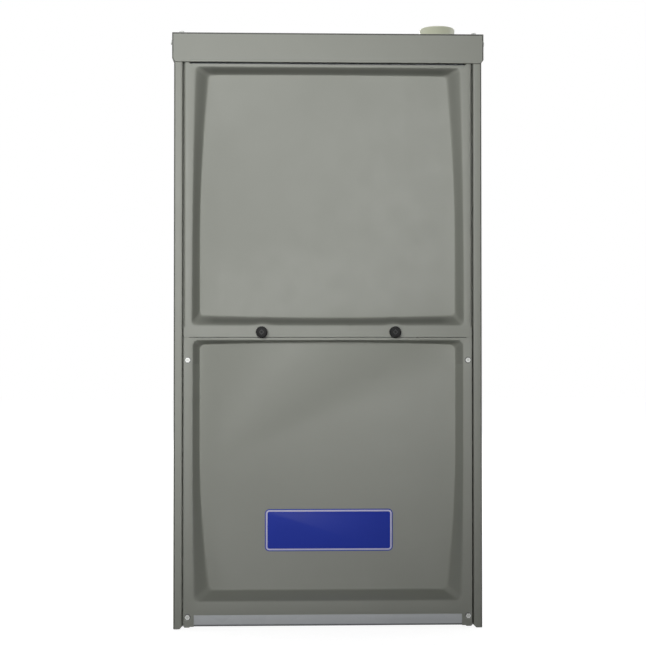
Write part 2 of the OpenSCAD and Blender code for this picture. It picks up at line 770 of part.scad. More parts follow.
// Burners and gas -----------------------------------------------------------
module burner_box() {
    xs = [row_x - row_half - 22, row_x + row_half + 22];
    zs = [burner_z - burner_box_h / 2, burner_z + burner_box_h / 2];
    color(galvanised) in_cabinet() difference() {
        union() {
            block(xs, burner_box_ys, zs);
            for (z = zs) block(xs, [vestibule_y - sheet_t, vestibule_y], [z - 8, z + 8]);
        }
        block([xs[0] + sheet_t, xs[1] - sheet_t], [burner_box_ys[0] + sheet_t, vestibule_y + cut],
            [zs[0] + sheet_t, zs[1] - sheet_t]);
        for (x = tube_xs) rod_y(17.5, [burner_box_ys[0] - cut, burner_box_ys[0] + 3], x, burner_z);
    }
}

// In-shot burner: a flared venturi with a collar on the burner box
module burner(i) {
    mouth = 19;
    throat = 11;
    barrel = 16;
    seat_y = burner_box_ys[0];
    wall = 1.2;
    color([0.62, 0.63, 0.65]) in_cabinet() translate([tube_xs[i], 0, burner_z]) difference() {
        turned_y(0, 0, 0, [[0, burner_back_y], [mouth, burner_back_y], [mouth, burner_back_y + 1.5],
            [throat + 2, burner_back_y + 14], [throat, burner_back_y + 24],
            [throat, burner_back_y + 34], [barrel, seat_y - 4], [22, seat_y - 4], [22, seat_y],
            [barrel, seat_y], [barrel, burner_tip_y], [0, burner_tip_y]]);
        turned_y(0, 0, 0, [[0, burner_back_y - cut], [mouth - wall, burner_back_y - cut],
            [throat + 2 - wall, burner_back_y + 14], [throat - wall, burner_back_y + 24],
            [throat - wall, burner_back_y + 34], [barrel - wall, seat_y],
            [barrel - wall, burner_tip_y + cut], [0, burner_tip_y + cut]]);
    }
}

module gas_manifold() {
    end_x = tube_xs[3] + 24;
    bend_x = valve_x + elbow_r;
    boss_z = valve_z + valve_size[2] / 2;
    color([0.20, 0.20, 0.21]) in_cabinet() {
        rod_x(pipe_r, [bend_x, end_x], manifold_y, burner_z);
        rod_x(pipe_r + 3, [end_x - 10, end_x + 3], manifold_y, burner_z);
        rod_z(pipe_r, [boss_z + 2, burner_z - elbow_r], valve_x, manifold_y);
        translate([bend_x, manifold_y, burner_z - elbow_r]) rotate([90, 0, 0])
            rotate([0, 0, 90]) rotate_extrude(angle = 90) translate([elbow_r, 0]) circle(pipe_r);
        for (x = tube_xs) {
            rod_y(7, [manifold_y, manifold_y + pipe_r + 4], x, burner_z);
            rod_y(4.5, [manifold_y, orifice_y], x, burner_z);
        }
        for (x = [tube_xs[0] + tube_pitch / 2, tube_xs[2] + tube_pitch / 2])
            block([x - 1, x + 1], [manifold_y, burner_box_ys[0]], [burner_z - 9, burner_z + 9]);
    }
}

module gas_valve() {
    half = valve_size / 2;
    boss_z = valve_z + half[2];
    color([0.60, 0.62, 0.64]) in_cabinet() translate([valve_x, manifold_y, 0]) difference() {
        union() {
            block([-half[0], half[0]], [-half[1], half[1]], [valve_z - half[2], boss_z]);
            rod_z(15, [boss_z, boss_z + 14], 0, 0);
            rod_x(15.5, [-half[0] - 9, -half[0] + cut], 10, valve_z);
            rod_z(13, [boss_z, boss_z + 20], 23, -16);
            rod_z(9, [boss_z, boss_z + 12], 25, 17);
            block([-half[0] + 4, half[0] - 4], [half[1], half[1] + 3],
                [valve_z - half[2] + 5, boss_z - 5]);
        }
        rod_z(pipe_r + running_fit, [boss_z + 2, boss_z + 20], 0, 0);
        rod_z(pipe_r - 3, [valve_z, boss_z + 3], 0, 0);
        rod_x(gas_port_r, [-half[0] - 10, -half[0] + 14], 10, valve_z);
        rod_y(4 + running_fit, [-half[1] - cut, 12 - half[1]], 8, valve_z + 4);
    }
}

module gas_valve_knob() {
    face_y = -valve_size[1] / 2;
    color(black) in_cabinet() translate([valve_x + 8, manifold_y, valve_z + 4]) {
        rod_y(13, [face_y - 8, face_y - seat_gap], 0, 0);
        rod_y(4, [face_y - 2, face_y + 10], 0, 0);
        block([-2.5, 2.5], [face_y - 15, face_y - 7], [-12, 12]);
    }
}

module igniter() {
    x = tube_xs[3] + 24;
    z = burner_z - burner_box_h / 2;
    color([0.86, 0.84, 0.80]) in_cabinet() {
        block([x - 9, x + 9], [burner_box_ys[0] + 20, burner_box_ys[0] + 50], [z - 1.5, z]);
        rod_z(6, [z - 26, z - 1.5], x, burner_box_ys[0] + 35);
    }
}

module flame_sensor() {
    x = tube_xs[0] - 24;
    z = burner_z - burner_box_h / 2;
    color([0.80, 0.80, 0.80]) in_cabinet() {
        block([x - 6, x + 6], [burner_box_ys[0] + 20, burner_box_ys[0] + 44], [z - 1.5, z]);
        rod_z(4, [z - 22, z - 1.5], x, burner_box_ys[0] + 32);
    }
}

// Round snap switches: two on the burner box's ends, one on the partition
module snap_switch() {
    block([-12, 12], [-18, 18], [0, 1.2]);
    translate([0, 0, 1.2]) cylinder(r = 9.5, h = 8);
    for (y = [-4, 4]) block([-3, 3], [y - 0.4, y + 0.4], [9, 16]);
}
module limit_switches() {
    xs = [row_x - row_half - 22, row_x + row_half + 22];
    y = burner_box_ys[0] + limit_inset;
    color([0.20, 0.20, 0.22]) in_cabinet() {
        translate([xs[0], y, burner_z + 8]) rotate([0, -90, 0]) snap_switch();
        translate([xs[1], y, burner_z + 8]) rotate([0, 90, 0]) snap_switch();
        translate([collector_xs[0] - 26, vestibule_y, 560]) rotate([90, 0, 0]) snap_switch();
    }
}

// Inducer ---------------------------------------------------------------------
// A volute's edge from angle a0 to a1, then straight up to a mouth; the tongue's
// wall stands inside by wall_in
function volute(c, r0, r1, a0, a1, top, wall_in) =
    let (n = 40,
        arc = [for (i = [0:n]) let (a = a0 + (a1 - a0) * i / n, r = r0 + (r1 - r0) * i / n)
            [c[0] + r * cos(a), c[1] + r * sin(a)]])
    concat(arc, [[arc[n][0], top], [arc[0][0] + wall_in, top], [arc[0][0] + wall_in, arc[0][1]]]);

module inducer_housing() {
    wall = 2;
    c = [inducer_x, inducer_z];
    a = inducer_tongue;
    neck_z = inducer_top - 22;
    color([0.22, 0.23, 0.25]) in_cabinet() difference() {
        union() {
            deep(inducer_ys) polygon(volute(c, inducer_r0, inducer_r1, a, 360, neck_z + 2, 0.01));
            rod_z(vent_socket_r + 3, [neck_z, inducer_top], vent_x, vent_y);
        }
        deep([inducer_ys[0] + wall, inducer_ys[1] - wall])
            polygon(volute(c, inducer_r0 - wall, inducer_r1 - wall, a, 360, neck_z, wall));
        rod_z(vent_socket_r, [inducer_top - 18, inducer_top + cut], vent_x, vent_y);
        rod_z(vent_socket_r - 4, [neck_z - 5, inducer_top], vent_x, vent_y);
        rod_y(28, [inducer_ys[1] - wall - cut, inducer_ys[1] + cut], inducer_x, inducer_z);
        rod_y(spindle_r + 3, [inducer_ys[0] - cut, inducer_ys[0] + wall + cut],
            inducer_x, inducer_z);
    }
}

module inducer_motor() {
    front = inducer_ys[0];
    color([0.30, 0.30, 0.32]) in_cabinet() difference() {
        union() {
            turned_y(inducer_x, 0, inducer_z, [[0, front - 78], [26, front - 78],
                [34, front - 72], [34, front - 60], [motor_can_r, front - 56],
                [motor_can_r, front - 26], [34, front - 22], [34, front - 14], [0, front - 12]]);
            for (a = [30, 150, 270]) translate([inducer_x, 0, inducer_z]) rotate([0, a, 0])
                rod_y(3, [front - 30, front], motor_can_r - 4, 0);
        }
        rod_y(spindle_r + running_fit, [front - 50, front], inducer_x, inducer_z);
    }
}

module inducer_wheel() {
    ys = [inducer_ys[0] + 6, inducer_ys[1] - 8];
    color([0.25, 0.25, 0.26]) in_cabinet() translate([inducer_x, 0, inducer_z]) {
        rod_y(inducer_wheel_r, [ys[0], ys[0] + 2], 0, 0);
        rod_y(10, [ys[0], ys[0] + 16], 0, 0);
        rod_y(spindle_r, [inducer_ys[0] - 48, ys[0] + 1], 0, 0);
        for (i = [0:11]) rotate([0, i * 30, 0]) translate([inducer_wheel_r - 15, 0, 0])
            rotate([0, 35, 0]) block([-13, 13], [ys[0], ys[1]], [-0.8, 0.8]);
    }
}

module pressure_switch() {
    y = vestibule_y;
    color([0.24, 0.25, 0.27]) in_cabinet() {
        block([pressure_x - 22, pressure_x + 22], [y - 2, y], [pressure_z - 30, pressure_z + 30]);
        turned_y(pressure_x, 0, pressure_z, [[0, y - 26], [14, y - 26], [14, y - 20],
            [27, y - 16], [30, y - 13], [30, y - 9], [27, y - 5], [12, y - 2], [0, y - 2]]);
        rod_y(3, [y - 36, y - 25], pressure_x, pressure_z);
    }
}

module pressure_hose() {
    start = [-40, collector_y - 10.3, collector_zs[1] - 20];
    end = [pressure_x, vestibule_y - 36.3, pressure_z];
    color([0.72, 0.28, 0.20]) in_cabinet()
        hose([start, start - [0, 40, 0], end - [0, 40, 0], end], 3.5, 18);
}

// Blower ------------------------------------------------------------------
module blower_rails() {
    mid = sheet_t / 2;
    lip = hanger_lip_z - mid;
    in_x = housing_w / 2 + 6;
    path = [[in_x, lip], [in_x + 17, lip], [in_x + 17, deck_z - mid], [in_x + 36, deck_z - mid]];
    color(galvanised) in_cabinet() both_sides() deep([mouth_ys[0] - 30, back_y - 40]) folded(path);
}

// Side plate of the scroll: its outline, the rolled inlet and the lip that hangs it
module scroll_side() {
    half = housing_w / 2;
    difference() {
        union() {
            across([half - sheet_t, half]) polygon(volute([blower_y, blower_z], scroll_r0,
                scroll_r1, tongue_angle, -180, mouth_top, 0));
            block([half - sheet_t, half + 20], [mouth_ys[0] + 2, mouth_ys[1] - 2],
                [hanger_lip_z, hanger_lip_z + sheet_t]);
            turned_x(0, blower_y, blower_z, [[inlet_r - 2, half - inlet_depth],
                [inlet_r, half - inlet_depth], [inlet_r, half - 4], [inlet_r + 6, half - sheet_t],
                [inlet_r + 6, half], [inlet_r + 4, half], [inlet_r - 2, half - 5]]);
        }
        turned_x(0, blower_y, blower_z, [[0, half - inlet_depth - cut],
            [inlet_r - 2, half - inlet_depth - cut], [inlet_r - 2, half - 5],
            [inlet_r + 4, half], [inlet_r + 4, half + cut], [0, half + cut]]);
    }
}

// The sheet bent round between the side plates, from the tongue to the mouth
module scroll_wrap() {
    x = housing_w / 2 - sheet_t - seat_gap;
    c = [blower_y, blower_z];
    a = tongue_angle;
    difference() {
        across([-x, x]) polygon(volute(c, scroll_r0, scroll_r1, a, -180, mouth_top, 0));
        across([-x - cut, x + cut]) polygon(volute(c, scroll_r0 - sheet_t, scroll_r1 - sheet_t,
            a, -180, mouth_top + cut, (cos(a) - 1) * sheet_t));
        block([-x - cut, x + cut], [mouth_ys[0] + sheet_t, mouth_ys[1] - sheet_t],
            [blower_z + scroll_r0, mouth_top + cut]);
    }
}

module blower_housing() {
    color(galvanised) in_cabinet() {
        both_sides() scroll_side();
        scroll_wrap();
    }
}

// Forward curved blade, from the inner to the outer radius
function blade_edge(side, i) = [for (k = [0:4])
    let (t = k / 4, r = wheel_in_r + (wheel_r - wheel_in_r - 0.5) * t,
        a = i * 360 / blade_count + 9 * t * t + side * 28 / r)
    [r * cos(a), r * sin(a)]];
module blower_wheel() {
    half = wheel_w / 2;
    rim = 2;
    color([0.55, 0.57, 0.60]) in_cabinet() translate([0, blower_y, blower_z]) {
        across([-half, half]) for (i = [0:blade_count - 1]) {
            back_edge = blade_edge(-1, i);
            polygon(concat(blade_edge(1, i), [for (k = [4:-1:0]) back_edge[k]]));
        }
        for (x = [-half, -1, half - rim]) difference() {
            rod_x(wheel_r, [x, x + rim], 0, 0);
            rod_x(x == -1 ? shaft_r + running_fit : wheel_in_r + 3, [x - cut, x + rim + cut], 0, 0);
        }
        difference() {
            rod_x(18, [-8, 20], 0, 0);
            rod_x(shaft_r + running_fit, [-9, 21], 0, 0);
        }
    }
}

module blower_shaft() {
    color(zinc) in_cabinet() rod_x(shaft_r, [motor_x - 45, 24], blower_y, blower_z);
}

module blower_motor() {
    x = motor_x - motor_l;
    color([0.18, 0.18, 0.20]) in_cabinet() difference() {
        turned_x(0, blower_y, blower_z, [[0, x], [motor_r - 14, x], [motor_r - 4, x + 3],
            [motor_r - 1, x + 7], [motor_r, x + 8], [motor_r, motor_x - 24],
            [motor_r - 1, motor_x - 22], [motor_r - 6, motor_x - 5], [18, motor_x - 2],
            [16, motor_x], [0, motor_x]]);
        rod_x(shaft_r + running_fit, [motor_x - 46, motor_x + cut], blower_y, blower_z);
        for (a = [0:30:330]) translate([0, blower_y, blower_z]) rotate([a, 0, 0])
            block([x - cut, x + 3], [-3, 3], [28, 46]);
    }
}

module motor_mount() {
    side = -housing_w / 2;
    foot_r = inlet_r + 16;
    color([0.35, 0.35, 0.37]) in_cabinet() translate([0, blower_y, blower_z]) {
        difference() {
            rod_x(motor_r + 3, [side - 16, side - 4], 0, 0);
            rod_x(motor_r + seat_gap, [side - 17, side - 3], 0, 0);
        }
        for (a = [90, 210, 330]) rotate([a, 0, 0]) {
            block([side - 12, side - 9], [-7, 7], [motor_r + 1, foot_r]);
            block([side - 12, side], [-7, 7], [foot_r - 3, foot_r]);
            block([side - 2, side], [-9, 9], [foot_r - 3, foot_r + 12]);
        }
    }
}

module run_capacitor() {
    r = 20;
    y = mouth_ys[0] - r - 1;
    z = 330;
    color([0.75, 0.76, 0.77]) in_cabinet() {
        rod_x(r, [5, 85], y, z);
        for (s = [-7, 7]) block([85, 93], [y - 0.5, y + 0.5], [z + s - 3, z + s + 3]);
        difference() {
            union() {
                rod_x(r + 1, [35, 50], y, z);
                block([35, 50], [mouth_ys[0] - 1, mouth_ys[0]], [z - 26, z + 34]);
                block([35, 50], [y, mouth_ys[0]], [z - 8, z + 8]);
            }
            rod_x(r - 1, [34, 51], y, z);
        }
    }
}

// Controls --------------------------------------------------------------------
module control_panel() {
    mid = sheet_t / 2;
    low = deck_z - panel_drop;
    path = [[panel_y + panel_lips[0], deck_z - mid], [panel_y + mid, deck_z - mid],
        [panel_y + mid, low], [panel_y + panel_lips[1], low]];
    color(galvanised) in_cabinet() across(panel_xs) folded(path);
}

module control_board() {
    back = panel_y;
    face = back - 10;
    xs = [board_x - board_w / 2, board_x + board_w / 2];
    zs = [board_z - board_h / 2, board_z + board_h / 2];
    color([0.10, 0.32, 0.20]) in_cabinet() {
        block(xs, [face, face + 1.6], zs);
        for (x = [xs[0] + 7, xs[1] - 7]) for (z = [zs[0] + 7, zs[1] - 7])
            rod_y(3, [face + 1, back], x, z);
        for (i = [0:2]) block([xs[0] + 14 + i * 24, xs[0] + 34 + i * 24], [face - 16, face],
            [zs[1] - 36, zs[1] - 12]);
        block([xs[0] + 12, xs[0] + 92], [face - 12, face], [zs[0] + 4, zs[0] + 18]);
        block([xs[1] - 44, xs[1] - 10], [face - 10, face], [zs[1] - 30, zs[1] - 10]);
        block([xs[1] - 40, xs[1] - 18], [face - 4, face], [board_z - 18, board_z + 4]);
        for (i = [0:4]) rod_y(5, [face - 12, face], xs[0] + 20 + i * 15, board_z - 8);
        block([xs[1] - 48, xs[1] - 8], [face - 8, face], [zs[0] + 8, zs[0] + 16]);
    }
}

module transformer() {
    x = transformer_x;
    z = board_z;
    color([0.30, 0.30, 0.31]) in_cabinet() {
        block([x - 24, x + 24], [panel_y - 34, panel_y - 6], [z - 28, z + 28]);
        block([x - 15, x + 15], [panel_y - 46, panel_y - 33], [z - 18, z + 18]);
        block([x - 24, x + 24], [panel_y - 6, panel_y], [z - 28, z + 28]);
        for (s = [-1, 1]) block([x - 9, x + 9], [panel_y - 1.5, panel_y],
            s > 0 ? [z + 27, z + 42] : [z - 42, z - 27]);
    }
}

module door_switch() {
    body_x = [switch_x - 12, switch_x + 12];
    tip = running_fit;
    color([0.12, 0.12, 0.13]) in_cabinet() difference() {
        union() {
            block(body_x, [switch_face_y, switch_face_y + 28], [switch_z - 9, switch_z + 9]);
            block([body_x[1], body_x[1] + sheet_t], [switch_face_y + 2, switch_face_y + 30],
                [switch_z - 12, deck_z]);
            block([body_x[1], body_x[1] + 16], [switch_face_y + 2, switch_face_y + 30],
                [deck_z - sheet_t, deck_z]);
        }
        rod_y(4 + tip, [switch_face_y - cut, switch_face_y + 18], switch_x, switch_z);
    }
}

module door_switch_plunger() {
    tip_y = panel_back_y + seat_gap;
    color([0.85, 0.85, 0.83]) in_cabinet()
        turned_y(switch_x, 0, switch_z, [[0, tip_y], [2.5, tip_y], [4, tip_y + 1.5],
            [4, switch_face_y + 18 - plunger_travel - 1], [0, switch_face_y + 18 - plunger_travel - 1]]);
}

module junction_box() {
    xs = [skin_x - 60, skin_x];
    ys = [box_y - 30, box_y + 30];
    zs = [box_z - 38, box_z + 38];
    wall = 1.2;
    color(galvanised) in_cabinet() difference() {
        union() {
            block(xs, ys, zs);
            block([xs[0] - 2, xs[1]], [ys[0] - wall, ys[0]], [zs[0] - 2, zs[1] + 2]);
        }
        block([xs[0] + wall, xs[1] - wall], [ys[0] + wall, ys[1] - wall],
            [zs[0] + wall, zs[1] - wall]);
        rod_x(conduit_r, [xs[1] - 5, xs[1] + cut], box_y, box_z);
    }
}

// Doors -------------------------------------------------------------------
// An outline is [half width, draw-in, bottom, top, 1 or -1 where its sides draw in
// upwards or downwards, height where that starts, [bottom bow, top bow], corner radius]
function side_x(s, z) = let (t = s[4] > 0
        ? max(0, (z - s[5]) / (s[3] - s[5])) : max(0, (s[5] - z) / (s[5] - s[2])))
    s[0] - s[1] * pow(t, 1.9);
function corner(c, r, a) = [for (k = [1:3])
    let (b = a + k * 22.5) [c[0] + r * cos(b), c[1] + r * sin(b)]];
function outline(s, grow) =
    let (z0 = s[2] - grow, z1 = s[3] + grow, r = s[7] + grow, n = 8,
        x0 = side_x(s, s[2]) + grow, x1 = side_x(s, s[3]) + grow,
        bottom = [for (k = [0:n]) let (t = 2 * k / n - 1) [t * (x0 - r), z0 - s[6][0] * (1 - t * t)]],
        right = [for (k = [0:n]) let (z = z0 + r + (z1 - z0 - 2 * r) * k / n)
            [side_x(s, z) + grow, z]],
        top = [for (k = [0:n]) let (t = 1 - 2 * k / n) [t * (x1 - r), z1 + s[6][1] * (1 - t * t)]])
    concat(bottom, corner([x0 - r, z0 + r], r, -90), right, corner([x1 - r, z1 - r], r, 0), top,
        corner([r - x1, z1 - r], r, 90), [for (k = [n:-1:0]) [-right[k][0], right[k][1]]],
        corner([r - x0, z0 + r], r, 180));

// Depth across the pressing's wall, rounded into the face and into the panel
round_share = 0.22;
function wall_depth(u) = let (e = round_share, k = 1 / (1 - e))
    u < e ? k * u * u / (2 * e) : u > 1 - e ? 1 - k * pow(1 - u, 2) / (2 * e) : k * (u - e / 2);
wall_steps = [0, 0.09, 0.22, 0.78, 0.91, 1];

module pressing(outer, inner, grow, front) {
    rim = outline(outer, grow);
    panel = outline(inner, grow);
    ring = function (u, y) [for (i = [0:len(rim) - 1])
        let (p = rim[i] * (1 - u) + panel[i] * u) [p[0], y, p[1]]];
    lofted(concat([ring(0, front)],
        [for (u = wall_steps) ring(u, recess_depth * wall_depth(u) + grow)]));
}

upper_zs = [upper_low_z + knob_band_h, door_top_z - door_rim];
upper_rim = [door_x - door_flange_w, 4.2, upper_zs[0], upper_zs[1], 1, upper_zs[0], [0, 0], 6];
upper_panel = [door_x - door_flange_w - upper_wall_w, upper_taper, upper_zs[0] + foot_slope,
    upper_zs[1] - head_slope, 1, upper_zs[0] + upper_taper_rise, [3.4, 0.6], 5];
lower_zs = [door_bottom_z + lower_band_h, lower_top_z - door_rim];
lower_rim = [door_x - door_flange_w - 1.3, 1.2, lower_zs[0], lower_zs[1], -1,
    lower_zs[1] - lower_taper_drop, [0, 0], 8];
lower_panel = [door_x - door_flange_w - 1.3 - lower_wall_w, lower_taper, lower_zs[0] + foot_slope - 2.5,
    lower_zs[1] - head_slope + 1.8, -1, lower_zs[1] - lower_taper_drop, [0, 3.4], 8];

module door_skin(edge, rim, panel) {
    difference() {
        union() {
            deep([0, sheet_t]) polygon(edge);
            pressing(rim, panel, sheet_t, sheet_t / 2);
        }
        pressing(rim, panel, 0, -cut);
    }
}

module upper_door() {
    step_z = upper_low_z + knob_band_h - 1.3;
    edge = [[-door_x, upper_low_z], [door_x, upper_low_z], [door_x, step_z],
        [upper_x, step_z + 1], [upper_x, door_top_z], [-upper_x, door_top_z],
        [-upper_x, step_z + 1], [-door_x, step_z]];
    color(paint) in_cabinet() difference() {
        union() {
            door_skin(edge, upper_rim, upper_panel);
            block([-return_flange_x, return_flange_x], [0.5, return_flange_d],
                [door_top_z - sheet_t, door_top_z]);
            for (x = tab_xs) block([x - locating_tab_w / 2, x + locating_tab_w / 2],
                [return_flange_d - cut, return_flange_d + tab_reach],
                [door_top_z - sheet_t, door_top_z]);
        }
        for (x = [-knob_x, knob_x])
            rod_y(knob_shank_r + running_fit, [-cut, 4], x, knob_z);
    }
}

module upper_door_insulation() {
    color([0.78, 0.79, 0.80]) in_cabinet()
        block([-upper_panel[0] + 20, upper_panel[0] - 20], [panel_back_y, panel_back_y + blanket_t],
            [upper_panel[2] + 18, upper_panel[3] - 24]);
}

module thumb_screw(x) {
    grip = [-knob_reach, -4];
    shank_end = 11;
    color(black) in_cabinet() translate([x, 0, knob_z]) difference() {
        turned_y(0, 0, 0, [[0, grip[0]], [knob_r - 1.2, grip[0]], [knob_r, grip[0] + 1.2],
            [knob_r, grip[1]], [knob_r - 2.5, grip[1] + 1.5], [knob_r - 2.5, -door_seat],
            [knob_shank_r, -door_seat], [knob_shank_r, shank_end - 2],
            [knob_shank_r - 1, shank_end], [0, shank_end]]);
        for (a = [0:18:342]) rotate([0, a, 0]) rod_y(0.55, [grip[0] - cut, grip[1] + 3], knob_r, 0);
        rod_y(2.6, [grip[0] - cut, grip[0] + 1.5], 0, 0);
    }
}
module thumb_screw_left() { thumb_screw(-knob_x); }
module thumb_screw_right() { thumb_screw(knob_x); }

module lower_door() {
    edge = [[-door_x, tab_z], [tab_w - door_x, tab_z], [tab_w - door_x, door_bottom_z],
        [door_x - tab_w, door_bottom_z], [door_x - tab_w, tab_z], [door_x, tab_z],
        [door_x, lower_top_z], [-door_x, lower_top_z]];
    color(paint) in_cabinet() difference() {
        union() {
            door_skin(edge, lower_rim, lower_panel);
            block([-return_flange_x, return_flange_x], [0.5, return_flange_d],
                [lower_top_z - sheet_t, lower_top_z]);
        }
        at_door_screws() screw_hole(4);
    }
}

module lower_door_screws() { color(zinc) in_cabinet() at_door_screws() screw(10); }

module badge_plate() {
    r = 6.5;
    x = badge_w / 2 - r;
    z = badge_h / 2 - r;
    color([0.10, 0.12, 0.55]) in_cabinet() deep([recess_depth - badge_t, recess_depth])
        translate([badge_x, badge_z]) union() {
            square([2 * x, badge_h], center = true);
            square([badge_w, 2 * z], center = true);
            for (sx = [-x, x]) for (sz = [-z, z]) translate([sx, sz]) circle(r);
        }
}

cabinet_wrapper();
left_door_jamb();
right_door_jamb();
top_panel();
top_front_cap();
top_header_rail();
middle_rail();
base_rail();
base_pan();
blower_deck();
vestibule_panel();
casing_screws();
insulation_blankets();
vent_coupling();
vent_pipe();
heat_exchanger_tube(0);  // heat_exchanger_tube_1
heat_exchanger_tube(1);  // heat_exchanger_tube_2
heat_exchanger_tube(2);  // heat_exchanger_tube_3
heat_exchanger_tube(3);  // heat_exchanger_tube_4
rear_header_box();
secondary_coil();
collector_box();
condensate_trap();
drain_hose();
burner_box();
burner(0);  // burner_1
burner(1);  // burner_2
burner(2);  // burner_3
burner(3);  // burner_4
gas_manifold();
gas_valve();
gas_valve_knob();
igniter();
flame_sensor();
limit_switches();
inducer_housing();
inducer_motor();
inducer_wheel();
pressure_switch();
pressure_hose();
blower_rails();
blower_housing();
blower_wheel();
blower_shaft();
blower_motor();
motor_mount();
run_capacitor();
control_panel();
control_board();
transformer();
door_switch();
door_switch_plunger();
junction_box();
upper_door();
upper_door_insulation();
thumb_screw_left();
thumb_screw_right();
lower_door();
lower_door_screws();
badge_plate();
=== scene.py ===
import json
import math
import bmesh
import bpy
from mathutils import Matrix, Vector


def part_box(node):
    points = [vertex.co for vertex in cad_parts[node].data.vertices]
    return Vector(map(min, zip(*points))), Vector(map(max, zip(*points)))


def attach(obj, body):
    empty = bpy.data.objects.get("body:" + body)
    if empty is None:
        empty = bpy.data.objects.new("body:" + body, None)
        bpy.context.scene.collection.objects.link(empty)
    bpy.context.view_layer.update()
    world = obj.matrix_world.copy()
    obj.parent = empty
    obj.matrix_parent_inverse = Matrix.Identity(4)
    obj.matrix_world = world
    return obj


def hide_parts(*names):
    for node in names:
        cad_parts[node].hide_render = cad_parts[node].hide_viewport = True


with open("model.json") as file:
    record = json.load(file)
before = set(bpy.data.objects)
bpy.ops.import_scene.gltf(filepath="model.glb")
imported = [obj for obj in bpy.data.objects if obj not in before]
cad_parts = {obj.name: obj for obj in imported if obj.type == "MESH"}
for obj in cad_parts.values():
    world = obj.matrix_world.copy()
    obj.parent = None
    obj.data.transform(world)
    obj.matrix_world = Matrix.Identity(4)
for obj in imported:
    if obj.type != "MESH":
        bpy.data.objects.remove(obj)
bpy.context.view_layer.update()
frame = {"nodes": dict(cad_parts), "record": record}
mm = 0.001
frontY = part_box("cabinet_wrapper")[0].y  # plane of the flanges beside the doors
print("frame loaded")


# shader sums
class Socket:  # an output that takes part in Python sums
    def __init__(self, shop, link):
        self.shop, self.link = shop, link

    def sum(self, operation, first, *rest):
        return self.shop.node("ShaderNodeMath", {"operation": operation}, dict(enumerate((first, *rest))))

    def __add__(self, other):
        return self.sum("ADD", self, other)

    def __radd__(self, other):
        return self.sum("ADD", other, self)

    def __sub__(self, other):
        return self.sum("SUBTRACT", self, other)

    def __rsub__(self, other):
        return self.sum("SUBTRACT", other, self)

    def __mul__(self, other):
        return self.sum("MULTIPLY", self, other)

    def __rmul__(self, other):
        return self.sum("MULTIPLY", other, self)

    def __truediv__(self, other):
        return self.sum("DIVIDE", self, other)

    def __pow__(self, other):
        return self.sum("POWER", self, other)

    def above(self, edge):
        return self.sum("GREATER_THAN", self, edge)

    def below(self, edge):
        return self.sum("LESS_THAN", self, edge)

    def wave(self):
        return self.sum("SINE", self)

    def size(self):
        return self.sum("ABSOLUTE", self)

    def most(self, other):
        return self.sum("MAXIMUM", self, other)


class Shop:  # makes the nodes of one material
    def __init__(self, name):
        self.material = bpy.data.materials.new(name)
        self.material.use_nodes = True
        self.tree = self.material.node_tree
        self.shader = self.tree.nodes["Principled BSDF"]
        self.place = self.node("ShaderNodeTexCoord", {"out": "Object"}, {})

    def put(self, socket, value):
        if isinstance(value, Socket):
            self.tree.links.new(value.link, socket)
        elif socket.type == "RGBA":
            socket.default_value = (*value, 1.0) if len(value) == 3 else value
        else:
            socket.default_value = value

    def node(self, kind, settings, values):
        made = self.tree.nodes.new(kind)
        out = settings.get("out", 0)
        for key, value in settings.items():
            if key == "stops":
                ramp = made.color_ramp
                while len(ramp.elements) < len(value):
                    ramp.elements.new(0.5)
                for element, (at, colour) in zip(ramp.elements, value):
                    element.position = at
                    element.color = (*colour, 1.0)
            elif key != "out":
                setattr(made, key, value)
        for key, value in values.items():
            self.put(made.inputs[key], value)
        return Socket(self, made.outputs[out])

    def stretched(self, scale):
        return self.node("ShaderNodeMapping", {}, {"Vector": self.place, "Scale": scale})

    def noise(self, scale, detail=2.0, stretch=None):
        at = self.stretched(stretch) if stretch else self.place
        values = {"Vector": at, "Scale": scale, "Detail": detail}
        return self.node("ShaderNodeTexNoise", {"out": "Fac"}, values)

    def cells(self, scale, out="Color"):
        return self.node("ShaderNodeTexVoronoi", {"out": out}, {"Vector": self.place, "Scale": scale})

    def mix(self, factor, a, b):
        return self.node("ShaderNodeMix", {"data_type": "RGBA", "out": 2}, {0: factor, 6: a, 7: b})

    def ramp(self, factor, *stops):
        return self.node("ShaderNodeValToRGB", {"stops": stops}, {0: factor})

    def axis(self, name):
        return self.node("ShaderNodeSeparateXYZ", {"out": name}, {0: self.place})

    def finish(self, colour, rough, metal=0.0, height=None, depth=0.1 * mm, **fixed):
        self.put(self.shader.inputs["Base Color"], colour)
        self.put(self.shader.inputs["Roughness"], rough)
        self.put(self.shader.inputs["Metallic"], metal)
        for key, value in fixed.items():
            self.shader.inputs[key.replace("_", " ")].default_value = value
        if height is not None:
            bump = self.node("ShaderNodeBump", {}, {"Height": height, "Strength": 1.0, "Distance": depth})
            self.put(self.shader.inputs["Normal"], bump)
        return self.material


